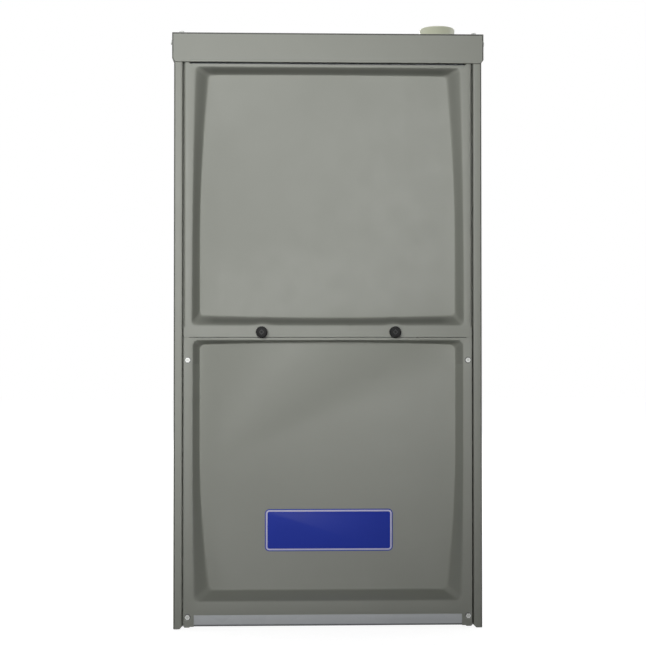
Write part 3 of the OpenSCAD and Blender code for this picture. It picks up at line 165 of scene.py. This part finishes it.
# finishes
def greyPaint():  # painted shade: dark along the outer edges of the front, and darker in the walls of the upper pressing
    s = Shop("greyPaint")
    look = dict(pale=(0.318, 0.327, 0.291), deep=(0.292, 0.301, 0.266), cloud=9, speck=(0.22, 0.226, 0.20),
                speckSize=900, speckCut=0.735, speckShare=0.35, rough=0.44, spread=0.12, patch=40, peel=650,
                depth=0.02, shine=0.32, edge=2.0, shade=(0.085, 0.088, 0.078), recess=24, reach=198,
                turn=188, fade=24, sides=0.16, levels=0.50, start=380)
    tone = s.mix(s.noise(look["cloud"], 3), look["deep"], look["pale"])
    specks = s.noise(look["speckSize"], 1).above(look["speckCut"])
    flat = s.mix(specks * look["speckShare"], tone, look["speck"])
    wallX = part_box("cabinet_wrapper")[1].x
    capLow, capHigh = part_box("top_front_cap")
    edge = look["edge"] * mm
    wide, y, z = s.axis("X").size(), s.axis("Y"), s.axis("Z")
    # painted shade: a dark line along the front corners of the wrapper and along the sides and top of the
    # cap's front
    corner = wide.above(wallX - edge) * wide.below(wallX + edge / 2)
    corner = corner * y.below(frontY + edge / 2) * z.below(capLow.z + edge)
    rim = wide.above(capHigh.x - edge).most(z.above(capHigh.z - edge))
    rim = rim * y.below(capLow.y + edge / 2)
    # painted shade in the walls of the upper pressing, deepest halfway into the recess and stronger on the
    # top and bottom walls than on the side walls
    sunk = (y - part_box("lower_door")[0].y) / (look["recess"] * mm)  # 0 on a door's rim, 1 on its panel
    hollow = (sunk * (1 - sunk) * 4).most(0) * wide.below(look["reach"] * mm)
    level = 1 - (1 - (look["turn"] * mm - wide) / (look["fade"] * mm)).most(0)  # 0 at the side walls
    paintedWallShade = hollow * (level.most(0) * look["levels"] + look["sides"])
    paintedWallShade = paintedWallShade * z.above(look["start"] * mm) * z.below(capLow.z)
    # the painted shade colour goes on the edge lines and on the pressing's walls
    colour = s.mix(corner.most(rim).most(paintedWallShade), flat, look["shade"])
    rough = look["rough"] + s.noise(look["patch"], 3) * look["spread"]
    peel = s.noise(look["peel"], 2)
    return s.finish(colour, rough, height=peel, depth=look["depth"] * mm, Specular_IOR_Level=look["shine"])


def zincSheet(name, pale, deep, spangle, metal, shine, foot=None):  # painted shade below the height of its foot
    s = Shop(name)
    look = dict(fine=260, stretch=(1.0, 1.0, 0.25), cellShare=0.75, cellRelief=0.6, depth=0.012, rough=0.42,
                spread=0.16, footShade=0.42)
    cell = s.node("ShaderNodeSeparateColor", {"out": "Red"}, {0: s.cells(spangle)})
    fine = s.noise(look["fine"], 3, look["stretch"])
    colour = s.mix(cell * look["cellShare"] + fine * (1 - look["cellShare"]), deep, pale)
    # painted shade on the lower edge, below the foot
    if foot is not None:
        colour = s.mix(s.axis("Z").below(foot), colour, tuple(c * look["footShade"] for c in deep))
    rough = look["rough"] + cell * look["spread"]
    relief = cell * look["cellRelief"] + fine * (1 - look["cellRelief"])
    return s.finish(colour, rough, metal, height=relief, depth=look["depth"] * mm, Specular_IOR_Level=shine)


def brushed(name, pale, deep, stretch, rough, metal=1.0):
    s = Shop(name)
    look = dict(grain=60, spread=0.14, depth=0.01)
    grain = s.noise(look["grain"], 4, stretch)
    colour = s.mix(grain, deep, pale)
    uneven = rough + grain * look["spread"]
    return s.finish(colour, uneven, metal, height=grain, depth=look["depth"] * mm)


def moulded(name, colour, rough, grainSize=1400, depth=0.02 * mm, shift=0.12, **fixed):
    s = Shop(name)
    look = dict(cloud=22, patch=90, spread=0.08)
    deep = tuple(c * (1 - shift) for c in colour)
    pale = tuple(c * (1 + shift) for c in colour)
    tone = s.mix(s.noise(look["cloud"], 3), deep, pale)
    grain = s.noise(grainSize, 2)
    uneven = rough + s.noise(look["patch"], 2) * look["spread"]
    return s.finish(tone, uneven, height=grain, depth=depth, **fixed)


def doorScrewZinc():  # painted shade: lighter on the head's front face, darker on the dish, darkest on the washer
    s = Shop("doorScrewZinc")
    look = dict(face=(0.64, 0.65, 0.63), dish=(0.46, 0.47, 0.45), washer=(0.15, 0.153, 0.145),
                headDepth=0.9, rimDepth=0.35, grain=300, depth=0.01, rough=0.40, spread=0.14, metal=0.3)
    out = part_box("lower_door_screws")[0].y
    y = s.axis("Y")
    # painted shade by depth behind the head's front face
    head = s.mix(y.above(out + look["rimDepth"] * mm), look["face"], look["dish"])
    colour = s.mix(y.above(out + look["headDepth"] * mm), head, look["washer"])
    grain = s.noise(look["grain"], 3)
    rough = look["rough"] + grain * look["spread"]
    return s.finish(colour, rough, look["metal"], height=grain, depth=look["depth"] * mm)


def creamPipe():  # drawn lines along the pipe
    s = Shop("creamPipe")
    look = dict(deep=(0.50, 0.517, 0.392), pale=(0.57, 0.587, 0.456), lines=30, stretch=(1.0, 1.0, 0.05),
                depth=0.03, rough=0.36, spread=0.1)
    drawn = s.noise(look["lines"], 3, look["stretch"])
    colour = s.mix(drawn, look["deep"], look["pale"])
    rough = look["rough"] + drawn * look["spread"]
    return s.finish(colour, rough, height=drawn, depth=look["depth"] * mm)


def foilBlanket():  # crinkled foil over a net of threads
    s = Shop("foilBlanket")
    look = dict(deep=(0.50, 0.51, 0.53), pale=(0.66, 0.67, 0.69), metal=0.85, cloud=25, crinkle=70, facets=55,
                crinkleShare=0.7, step=12, slope=0.5, thread=0.985, threadRelief=0.12, depth=1.1, rough=0.34,
                spread=0.2, patch=60)
    turn = math.tau / (look["step"] * mm)
    z = s.axis("Z")
    across = s.axis("X") + s.axis("Y")
    ways = (z, across + z * look["slope"], across - z * look["slope"])
    lines = [(way * turn).wave().size().above(look["thread"]) for way in ways]
    threads = (lines[0] + lines[1] + lines[2]) * look["threadRelief"]
    crinkle = s.noise(look["crinkle"], 5) * look["crinkleShare"]
    facets = s.cells(look["facets"], "Distance") * (1 - look["crinkleShare"])
    colour = s.mix(s.noise(look["cloud"], 4), look["deep"], look["pale"])
    rough = look["rough"] + s.noise(look["patch"], 3) * look["spread"]
    relief = crinkle + facets + threads
    return s.finish(colour, rough, look["metal"], height=relief, depth=look["depth"] * mm)


def heatedSteel():  # straw, grey and blue, as heat leaves it
    s = Shop("heatedSteel")
    look = dict(straw=(0.30, 0.25, 0.20), grey=(0.42, 0.40, 0.37), blue=(0.30, 0.31, 0.36), metal=0.9,
                cloud=14, cloudShare=0.6, streak=90, rough=0.36, spread=0.2, patch=50, scale=300, depth=0.03)
    cloud = s.noise(look["cloud"], 3) * look["cloudShare"]
    heat = cloud + s.noise(look["streak"], 2) * (1 - look["cloudShare"])
    colour = s.ramp(heat, (0.3, look["straw"]), (0.5, look["grey"]), (0.7, look["blue"]))
    rough = look["rough"] + s.noise(look["patch"], 3) * look["spread"]
    scale = s.noise(look["scale"], 3)
    return s.finish(colour, rough, look["metal"], height=scale, depth=look["depth"] * mm)


def castMetal():
    s = Shop("castMetal")
    look = dict(deep=(0.23, 0.235, 0.24), pale=(0.36, 0.37, 0.375), metal=0.5, shine=0.3, pits=420,
                depth=0.09, rough=0.52, spread=0.18)
    pits = s.noise(look["pits"], 4)
    colour = s.mix(pits, look["deep"], look["pale"])
    rough = look["rough"] + pits * look["spread"]
    return s.finish(colour, rough, look["metal"], height=pits, depth=look["depth"] * mm,
                    Specular_IOR_Level=look["shine"])


def boardGreen():  # tracks on the board, and its parts by where they stand on it
    s = Shop("boardGreen")
    look = dict(standOff=10.3, feet=19, socket=(44, 31), relays=(84, 37), board=(0.012, 0.085, 0.040),
                track=(0.022, 0.150, 0.068), chip=(0.018, 0.018, 0.019), nylon=(0.56, 0.54, 0.46),
                relay=(0.02, 0.035, 0.10), pitch=3.2, wander=9, wanderSize=30, trackCut=0.55, patch=70,
                patchCut=0.42, rough=0.40, spread=0.1, grain=80, depth=0.05, shine=0.2)
    low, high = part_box("control_board")
    x, z = s.axis("X"), s.axis("Z")
    bend = (s.noise(look["wanderSize"], 1) - 0.5) * look["wander"]
    tracks = (x * (math.tau / (look["pitch"] * mm)) + bend).wave().above(look["trackCut"])
    patches = s.cells(look["patch"], "Distance").above(look["patchCut"])
    green = s.mix(tracks * (1 - patches), look["board"], look["track"])
    feet = z.below(low.z + look["feet"] * mm)
    socket = x.above(high.x - look["socket"][0] * mm) * z.above(high.z - look["socket"][1] * mm)
    relays = x.below(low.x + look["relays"][0] * mm) * z.above(high.z - look["relays"][1] * mm)
    parts = s.mix(relays, s.mix(feet.most(socket), look["chip"], look["nylon"]), look["relay"])
    proud = s.axis("Y").below(high.y - look["standOff"] * mm)
    colour = s.mix(proud, green, parts)
    rough = look["rough"] + s.noise(look["grain"], 2) * look["spread"]
    copper = tracks * (1 - proud)
    return s.finish(colour, rough, height=copper, depth=look["depth"] * mm, Specular_IOR_Level=look["shine"])


finishes = {
    "grey_paint": greyPaint(),
    "galvanised_steel": zincSheet("galvanised", pale=(0.400, 0.415, 0.435), deep=(0.270, 0.285, 0.305),
                                  spangle=62, metal=0.45, shine=0.25),
    "zinc_screws": brushed("zincPlate", pale=(0.58, 0.59, 0.57), deep=(0.38, 0.39, 0.38),
                           stretch=(6, 6, 6), rough=0.46, metal=0.35),
    "black_plastic": moulded("blackMoulding", (0.020, 0.021, 0.023), rough=0.46, Specular_IOR_Level=0.16),
    "knob_black": moulded("knobMoulding", (0.012, 0.012, 0.012), rough=0.5, grainSize=1800,
                          Specular_IOR_Level=0.12),
    "cream_pvc": creamPipe(),
    "white_pvc": moulded("whitePipe", (0.66, 0.66, 0.62), rough=0.3, grainSize=500, depth=0.01 * mm,
                         shift=0.04),
    "foil_blanket": foilBlanket(),
    "aluminised_steel": heatedSteel(),
    "aluminium_fins": brushed("finStock", pale=(0.62, 0.63, 0.63), deep=(0.46, 0.47, 0.48),
                              stretch=(1, 1, 12), rough=0.3),
    "cast_aluminium": castMetal(),
    "black_pipe": moulded("blackIron", (0.026, 0.026, 0.028), rough=0.40, grainSize=700, depth=0.05 * mm,
                          shift=0.25, Specular_IOR_Level=0.25),
    "motor_paint": moulded("motorEnamel", (0.024, 0.025, 0.029), rough=0.36, grainSize=520, depth=0.03 * mm,
                           shift=0.1, Specular_IOR_Level=0.2),
    "bare_steel": brushed("rolledSteel", pale=(0.50, 0.51, 0.53), deep=(0.34, 0.35, 0.37),
                          stretch=(1, 9, 9), rough=0.28),
    "red_rubber": moulded("redHose", (0.33, 0.055, 0.035), rough=0.5, grainSize=900, depth=0.03 * mm,
                          shift=0.1),
    "black_rubber": moulded("rubberHose", (0.020, 0.020, 0.021), rough=0.6, grainSize=800, depth=0.04 * mm,
                            shift=0.15),
    "circuit_board": boardGreen(),
    "white_plastic": moulded("whiteMoulding", (0.60, 0.60, 0.56), rough=0.4, grainSize=900, shift=0.04),
    "ceramic": moulded("steatite", (0.62, 0.59, 0.52), rough=0.55, grainSize=600, depth=0.04 * mm,
                       shift=0.06),
    "badge_blue": moulded("badgeBlue", (0.025, 0.052, 0.450), rough=0.36, grainSize=1500, depth=0.004 * mm,
                          shift=0.05, Specular_IOR_Level=0.12),
}
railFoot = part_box("base_rail")[0].z + 2.8 * mm  # the rail's lower edge, darkened with painted shade
ownFinish = {
    "base_rail": zincSheet("railZinc", pale=(0.468, 0.486, 0.500), deep=(0.415, 0.432, 0.448), spangle=30,
                           metal=0.2, shine=0.3, foot=railFoot),
    "lower_door_screws": doorScrewZinc(),
    "badgeBorder": moulded("borderPrint", (0.60, 0.60, 0.80), rough=0.3, grainSize=1500, depth=0.004 * mm,
                           shift=0.03),
    "knobDiamond": moulded("knobGloss", (0.045, 0.046, 0.045), rough=0.4, grainSize=1600,
                           Specular_IOR_Level=0.2),
}
slotOf = {part["node"]: part["material_slot"] for part in frame["record"]["subparts"]}
bodyOf = {node: body for body, nodes in frame["record"]["behaviour"]["bodies"].items() for node in nodes}
print("finishes ready")


# making pieces
def camel(node):
    first, *rest = node.split("_")
    return first + "".join(word.capitalize() for word in rest)


def piece(name, bm, body, slot, replaced=(), material=None, crease=35):
    mesh = bpy.data.meshes.new(name)
    bm.to_mesh(mesh)
    bm.free()
    for face in mesh.polygons:
        face.use_smooth = True
    mesh.set_sharp_from_angle(angle=math.radians(crease))
    mesh.materials.append(material or finishes[slot])
    made = bpy.data.objects.new(name, mesh)
    bpy.context.scene.collection.objects.link(made)
    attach(made, body)
    if replaced:
        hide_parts(*replaced)
    return made


def roundEdges(made, width, limit=40):
    bevel = made.modifiers.new("roundEdges", "BEVEL")
    bevel.width = width
    bevel.segments = 2
    bevel.limit_method = "ANGLE"
    bevel.angle_limit = math.radians(limit)
    bevel.harden_normals = True
    bevel.use_clamp_overlap = True


def kindOf(geom, kind):
    return [item for item in geom if isinstance(item, kind)]


def ringIn(bm, face, width):  # a band of faces just inside the edge of a face
    made = bmesh.ops.inset_region(bm, faces=[face], thickness=width, use_boundary=True, use_even_offset=True)
    return made["faces"]


def raised(bm, faces, by):  # walls under faces that are moved out
    grown = bmesh.ops.extrude_face_region(bm, geom=faces)["geom"]
    bmesh.ops.translate(bm, verts=kindOf(grown, bmesh.types.BMVert), vec=by)
    return kindOf(grown, bmesh.types.BMFace)


# pressed doors
pressing = dict(depth=24, cuts=17, along=63, bend=8, share=0.22, drawPower=1.9, knobs=(-96, 96),
                knobSpread=9.5, near=0.01, sheet=1.0, foldRadius=0.6, foldSteps=5, weld=0.001, crease=40,
                ease=0.3, easeAbove=50)
upperDoor = dict(
    node="upper_door", half=207.5, low=418.8, high=812.8, shoulder=203.5, step=(433.1, 434.1),
    rim=dict(half=197.3, low=434.4, high=809.6, draw=4.2, start=434.4, upwards=True, bow=(0, 0), corner=6),
    panel=dict(half=185.3, low=451.9, high=800.6, draw=13.4, start=560.4, upwards=True, bow=(3.4, 0.6),
               corner=6),
    fold=197.7, foldDepth=12, knobRelief=2.2)
lowerDoor = dict(
    node="lower_door", half=207.5, low=3.4, high=418.0, notch=(193.0, 20.0),
    rim=dict(half=196.0, low=38.0, high=414.8, draw=1.2, start=255.8, upwards=False, bow=(0, 0), corner=8),
    panel=dict(half=185.6, low=53.0, high=407.6, draw=15.3, start=255.8, upwards=False, bow=(0, 3.4),
               corner=8),
    fold=197.7, foldDepth=12, knobRelief=0)


def sideHalf(s, z):  # half width of a pressing at a height, drawn in towards its far end
    far = s["high"] if s["upwards"] else s["low"]
    t = max(0.0, (z - s["start"]) / (far - s["start"]))
    return s["half"] - s["draw"] * t ** pressing["drawPower"]


def ringFace(bm, s, y, relief):  # a rounded rectangle, bowed, drawn in, and lifted over the knobs
    before = set(bm.faces)
    corners = [bm.verts.new((x * s["half"], y, z)) for x, z in
               ((-1, s["low"]), (1, s["low"]), (1, s["high"]), (-1, s["high"]))]
    bm.faces.new(corners)
    bmesh.ops.bevel(bm, geom=corners, offset=s["corner"], offset_type="OFFSET", segments=pressing["bend"],
                    profile=0.5, affect="VERTICES", material=-1)
    face = (set(bm.faces) - before).pop()
    sides = [edge for edge in face.edges if edge.calc_length() > 3 * s["corner"]]
    bmesh.ops.subdivide_edges(bm, edges=sides, cuts=pressing["along"])
    face = (set(bm.faces) - before).pop()
    for vert in face.verts:
        x, z = vert.co.x, vert.co.z
        t = min(1.0, abs(x) / (s["half"] - s["corner"]))
        vert.co.x = x * sideHalf(s, z) / s["half"]
        if z < s["low"] + pressing["near"]:
            vert.co.z -= s["bow"][0] * (1 - t * t)
            for knob in pressing["knobs"]:
                vert.co.z += relief * math.exp(-((x - knob) / pressing["knobSpread"]) ** 2)
        if z > s["high"] - pressing["near"]:
            vert.co.z += s["bow"][1] * (1 - t * t)
    return face


def wallDepth(u):  # depth across a pressed wall, rounded at both ends
    e = pressing["share"]
    k = 1 / (1 - e)
    if u < e:
        return k * u * u / (2 * e)
    if u > 1 - e:
        return 1 - k * (1 - u) ** 2 / (2 * e)
    return k * (u - e / 2)


def pressedDoor(s):
    bm = bmesh.new()
    rimFace = ringFace(bm, s["rim"], 0, s["knobRelief"])
    rim = list(rimFace.edges)
    bmesh.ops.delete(bm, geom=[rimFace], context="FACES_ONLY")
    panel = list(ringFace(bm, s["panel"], pressing["depth"], 0).edges)
    cross = bmesh.ops.bridge_loops(bm, edges=rim + panel)["edges"]
    bmesh.ops.subdivide_edges(bm, edges=cross, cuts=pressing["cuts"])
    for vert in bm.verts:
        vert.co.y = pressing["depth"] * wallDepth(vert.co.y / pressing["depth"])
    if "notch" in s:
        x, z = s["notch"]
        foot = [(-s["half"], s["low"]), (-x, s["low"]), (-x, z), (x, z), (x, s["low"]), (s["half"], s["low"])]
        sides = [(s["half"], s["high"])]
    else:
        foot = [(-s["half"], s["low"]), (s["half"], s["low"])]
        sides = [(s["half"], s["step"][0]), (s["shoulder"], s["step"][1]), (s["shoulder"], s["high"])]
    top = [(s["fold"], s["high"]), (-s["fold"], s["high"])]
    points = foot + sides + top + [(-x, z) for x, z in reversed(sides)]
    verts = [bm.verts.new((x, 0, z)) for x, z in points]
    outline = [bm.edges.new((a, b)) for a, b in zip(verts, verts[1:] + verts[:1])]
    bmesh.ops.triangle_fill(bm, edges=outline + rim, use_beauty=True, use_dissolve=False, normal=(0, -1, 0))
    at = len(foot) + len(sides)
    fold = bm.edges.get((verts[at], verts[at + 1]))
    lip = bmesh.ops.extrude_edge_only(bm, edges=[fold])["geom"]
    bmesh.ops.translate(bm, verts=kindOf(lip, bmesh.types.BMVert), vec=(0, s["foldDepth"], 0))
    bmesh.ops.bevel(bm, geom=[fold], offset=pressing["foldRadius"], offset_type="OFFSET",
                    segments=pressing["foldSteps"], profile=0.5, affect="EDGES", material=-1)
    bmesh.ops.remove_doubles(bm, verts=bm.verts, dist=pressing["weld"])
    bmesh.ops.recalc_face_normals(bm, faces=bm.faces)
    widest = max(bm.faces, key=lambda face: face.calc_area())
    if widest.normal.y > 0:
        bmesh.ops.reverse_faces(bm, faces=bm.faces)
    bmesh.ops.scale(bm, vec=(mm, mm, mm), verts=bm.verts)
    bmesh.ops.translate(bm, vec=(0, frontY, 0), verts=bm.verts)
    made = piece(camel(s["node"]), bm, s["node"], "grey_paint", (s["node"],), crease=pressing["crease"])
    sheet = made.modifiers.new("sheet", "SOLIDIFY")
    sheet.thickness = pressing["sheet"] * mm
    sheet.offset = -1
    sheet.use_even_offset = True
    roundEdges(made, pressing["ease"] * mm, pressing["easeAbove"])


pressedDoor(upperDoor)
pressedDoor(lowerDoor)
print("doors pressed")

# badge, bare but for its border
badge = dict(corner=6.5, bend=6, slope=0.35, dome=0.105, margin=1.3, line=2.3, proud=0.18)


def badgeOutline(bm, y):  # the plate's outline as one face, turned to the front
    low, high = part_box("badge_plate")
    spots = ((low.x, low.z), (high.x, low.z), (high.x, high.z), (low.x, high.z))
    corners = [bm.verts.new((x, y, z)) for x, z in spots]
    bm.faces.new(corners)
    bmesh.ops.bevel(bm, geom=corners, offset=badge["corner"] * mm, offset_type="OFFSET",
                    segments=badge["bend"], profile=0.5, affect="VERTICES", material=-1)
    bm.faces.ensure_lookup_table()
    if bm.faces[0].normal.y > 0:
        bmesh.ops.reverse_faces(bm, faces=bm.faces)
    return bm.faces[0]


def badgePlate():
    low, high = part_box("badge_plate")
    bm = bmesh.new()
    front = raised(bm, [badgeOutline(bm, high.y)], (0, low.y - high.y, 0))[0]
    ringIn(bm, front, badge["slope"] * mm)
    bmesh.ops.translate(bm, verts=front.verts, vec=(0, -badge["dome"] * mm, 0))
    bmesh.ops.recalc_face_normals(bm, faces=bm.faces)
    piece("badgePlate", bm, "lower_door", "badge_blue", ("badge_plate",))


def badgeBorder():
    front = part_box("badge_plate")[0].y - badge["dome"] * mm
    bm = bmesh.new()
    face = badgeOutline(bm, front)
    edge = ringIn(bm, face, badge["margin"] * mm)
    line = ringIn(bm, face, badge["line"] * mm)
    bmesh.ops.delete(bm, geom=edge + [face], context="FACES")
    raised(bm, line, (0, -badge["proud"] * mm, 0))
    bmesh.ops.recalc_face_normals(bm, faces=bm.faces)
    piece("badgeBorder", bm, "lower_door", "white_plastic", material=ownFinish["badgeBorder"])


badgePlate()
badgeBorder()
print("badge set in place")

# diamond raised on the end of each door knob
knobDiamond = dict(reach=3.7, line=0.9, proud=0.25)


def knobFace(side):
    node = "thumb_screw_" + side
    low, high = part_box(node)
    middle = (low + high) / 2
    bm = bmesh.new()
    made = bmesh.ops.create_circle(bm, cap_ends=True, radius=knobDiamond["reach"] * mm, segments=4)
    face = made["verts"][0].link_faces[0]
    line = ringIn(bm, face, knobDiamond["line"] * mm)
    bmesh.ops.delete(bm, geom=[face], context="FACES")
    raised(bm, line, (0, 0, knobDiamond["proud"] * mm))
    bmesh.ops.rotate(bm, cent=(0, 0, 0), matrix=Matrix.Rotation(math.radians(90), 3, "X"), verts=bm.verts)
    bmesh.ops.translate(bm, vec=(middle.x, low.y, middle.z), verts=bm.verts)
    bmesh.ops.recalc_face_normals(bm, faces=bm.faces)
    piece("knobDiamond" + side.capitalize(), bm, bodyOf[node], "knob_black",
          material=ownFinish["knobDiamond"])


for side in ("left", "right"):
    knobFace(side)
print("knobs marked")

# beads pressed in the side walls: knock-outs, and the corners of the side return opening
wallMarks = dict(proud=1.3, wide=3.0, ease=0.5, leg=34, sides=48,
                 knockOuts={-1: (150, 430, 11), 1: (115, 650, 22)},
                 opening=dict(front=110, back=640, low=55, high=385))


def wallPoint(side, back, up):  # a point on a side wall, from its distance behind the front
    return (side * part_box("cabinet_wrapper")[1].x, frontY + back * mm, up * mm)


def knockOut(bm, side, back, up, radius):
    turn = Matrix.Rotation(math.radians(90) * side, 4, "Y")
    place = Matrix.Translation(wallPoint(side, back, up)) @ turn
    made = bmesh.ops.create_circle(bm, cap_ends=True, radius=radius * mm, segments=wallMarks["sides"],
                                   matrix=place)
    face = made["verts"][0].link_faces[0]
    ring = ringIn(bm, face, wallMarks["wide"] * mm)
    bmesh.ops.delete(bm, geom=[face], context="FACES")
    return ring


def cornerMark(bm, side, corner, inwards):  # two legs that meet at a corner of the opening
    leg, wide = wallMarks["leg"], wallMarks["wide"]
    outline = ((0, 0), (leg, 0), (leg, wide), (wide, wide), (wide, leg), (0, leg))
    spots = [wallPoint(side, corner[0] + a * inwards[0], corner[1] + b * inwards[1]) for a, b in outline]
    return [bm.faces.new([bm.verts.new(spot) for spot in spots])]


def wallBeads():
    bm = bmesh.new()
    gap = wallMarks["opening"]
    for side in (-1, 1):
        faces = knockOut(bm, side, *wallMarks["knockOuts"][side])
        for back, a in ((gap["front"], 1), (gap["back"], -1)):
            for up, b in ((gap["low"], 1), (gap["high"], -1)):
                faces += cornerMark(bm, side, (back, up), (a, b))
        raised(bm, faces, (side * wallMarks["proud"] * mm, 0, 0))
    bmesh.ops.recalc_face_normals(bm, faces=bm.faces)
    made = piece("wallBeads", bm, bodyOf["cabinet_wrapper"], "grey_paint")
    roundEdges(made, wallMarks["ease"] * mm)


wallBeads()
print("side walls marked")

# everything else, from its CAD solid
solids = dict(
    made=["upper_door", "lower_door", "badge_plate"],
    plain=["blower_shaft", "secondary_coil", "rear_header_box", "igniter", "flame_sensor", "vent_pipe"],
    weld=0.002, flat=0.4, ease=0.3,
    easeOf={"top_front_cap": 1.2, "vent_coupling": 0.8, "gas_valve": 1.2, "collector_box": 1.0,
            "burner_box": 0.4, "drain_hose": 0.4, "thumb_screw_left": 0.25, "thumb_screw_right": 0.25,
            "blower_wheel": 0, "pressure_hose": 0})


def softened(node, width):  # a CAD solid with merged faces and eased edges
    bm = bmesh.new()
    bm.from_mesh(frame["nodes"][node].data)
    bmesh.ops.remove_doubles(bm, verts=bm.verts, dist=solids["weld"] * mm)
    bmesh.ops.dissolve_limit(bm, angle_limit=math.radians(solids["flat"]), verts=bm.verts, edges=bm.edges)
    made = piece(camel(node), bm, bodyOf[node], slotOf[node], (node,), ownFinish.get(node))
    if width:
        roundEdges(made, width)


for node in frame["nodes"]:
    if node in solids["made"]:
        continue
    if node in solids["plain"]:  # keeps its CAD mesh, and takes only its finish
        slots = frame["nodes"][node].data.materials
        slots.clear()
        slots.append(finishes[slotOf[node]])
    else:
        softened(node, solids["easeOf"].get(node, solids["ease"]) * mm)
print("solids dressed")

# studio
studio = dict(white=(1.0, 1.0, 1.0), floorTone=(0.28, 0.28, 0.28), floorRough=0.9, floorSize=14.0,
              floorDrop=0.3, floorGlow=0.92, clearAt=(0.55, 1.3), ambient=0.0,
              rays=("Is Camera Ray", "Is Glossy Ray", "Is Transmission Ray"))


def stageFloor():  # white to the camera away from the object, and keeps its shadow
    bm = bmesh.new()
    bmesh.ops.create_grid(bm, x_segments=1, y_segments=1, size=studio["floorSize"] / 2)
    bmesh.ops.translate(bm, verts=bm.verts, vec=(0, 0, -studio["floorDrop"] * mm))
    mesh = bpy.data.meshes.new("studioFloor")
    bm.to_mesh(mesh)
    bm.free()
    floor = bpy.data.objects.new("studioFloor", mesh)
    bpy.context.scene.collection.objects.link(floor)
    s = Shop("studioFloor")
    seen = 0
    for ray in studio["rays"]:
        seen = s.node("ShaderNodeLightPath", {"out": ray}, {}).most(seen)
    away = (s.axis("X") ** 2 + s.axis("Y") ** 2) ** 0.5
    near, far = studio["clearAt"]
    clear = s.node("ShaderNodeMapRange", {}, {"Value": away, "From Min": near, "From Max": far,
                                              "To Min": studio["floorGlow"], "To Max": 1.0})
    s.finish(studio["floorTone"], studio["floorRough"], Specular_IOR_Level=0.0, Emission_Strength=1.0)
    s.put(s.shader.inputs["Emission Color"], seen * clear)
    mesh.materials.append(s.material)


def studioWorld():  # white to the camera and in reflections, and no light of its own
    world = bpy.data.worlds.new("studio")
    bpy.context.scene.world = world
    world.use_nodes = True
    tree = world.node_tree
    path = tree.nodes.new("ShaderNodeLightPath")
    total = None
    for ray in studio["rays"]:
        if total is None:
            total = path.outputs[ray]
            continue
        join = tree.nodes.new("ShaderNodeMath")
        join.operation = "MAXIMUM"
        tree.links.new(total, join.inputs[0])
        tree.links.new(path.outputs[ray], join.inputs[1])
        total = join.outputs[0]
    level = tree.nodes.new("ShaderNodeMapRange")
    level.inputs["To Min"].default_value = studio["ambient"]
    level.inputs["To Max"].default_value = 1.0
    tree.links.new(total, level.inputs["Value"])
    sky = tree.nodes["Background"]
    sky.inputs["Color"].default_value = (*studio["white"], 1)
    tree.links.new(level.outputs["Result"], sky.inputs["Strength"])


lamps = {
    "key": dict(at=(-0.55, -2.6, 0.95), aim=(-0.29, -0.36, 0.87), cone=46, blend=1.0, size=0.12, watts=92),
    "fill": dict(at=(-0.2, -3.0, 0.6), aim=(-0.22, -0.36, 0.6), cone=50, blend=1.0, size=0.12, watts=93),
    "strip": dict(at=(-2.2, -1.6, 0.9), aim=(0, -0.36, 0.5), size=(0.12, 1.6), watts=3),
    "left": dict(at=(-3.0, 0.6, 1.4), aim=(0, 0, 0.45), size=(1.6, 1.4), watts=30),
    "right": dict(at=(3.0, 0.6, 1.4), aim=(0, 0, 0.45), size=(1.6, 1.4), watts=30),
    "back": dict(at=(0.2, 3.2, 1.5), aim=(0, 0, 0.45), size=(1.8, 1.4), watts=80),
    "top": dict(at=(0.0, 0.4, 3.4), aim=(0, 0, 0.5), size=(1.6, 1.6), watts=40),
}


def hangLamp(name, s):
    if "cone" in s:
        light = bpy.data.lights.new(name, "SPOT")
        light.spot_size = math.radians(s["cone"])
        light.spot_blend = s["blend"]
        light.shadow_soft_size = s["size"]
    else:
        light = bpy.data.lights.new(name, "AREA")
        light.shape = "RECTANGLE"
        light.size, light.size_y = s["size"]
    light.energy = s["watts"]
    lamp = bpy.data.objects.new(name, light)
    bpy.context.scene.collection.objects.link(lamp)
    lamp.location = s["at"]
    lamp.rotation_euler = (Vector(s["aim"]) - Vector(s["at"])).to_track_quat("-Z", "Y").to_euler()


shot = dict(at=(-0.066, -2.2628, 0.4128), pitch=0.792, yaw=1.758, focalPixels=1319, framePixels=646,
            sensor=36.0)


def setCamera():
    data = bpy.data.cameras.new("camera")
    data.sensor_width = shot["sensor"]
    data.lens = shot["focalPixels"] / shot["framePixels"] * shot["sensor"]
    camera = bpy.data.objects.new("camera", data)
    bpy.context.scene.collection.objects.link(camera)
    camera.location = shot["at"]
    camera.rotation_euler = (math.radians(90 + shot["pitch"]), 0, math.radians(-shot["yaw"]))
    bpy.context.scene.camera = camera


stageFloor()
studioWorld()
for name, s in lamps.items():
    hangLamp(name, s)
setCamera()
bpy.context.scene.view_settings.view_transform = "Standard"
print("studio ready")
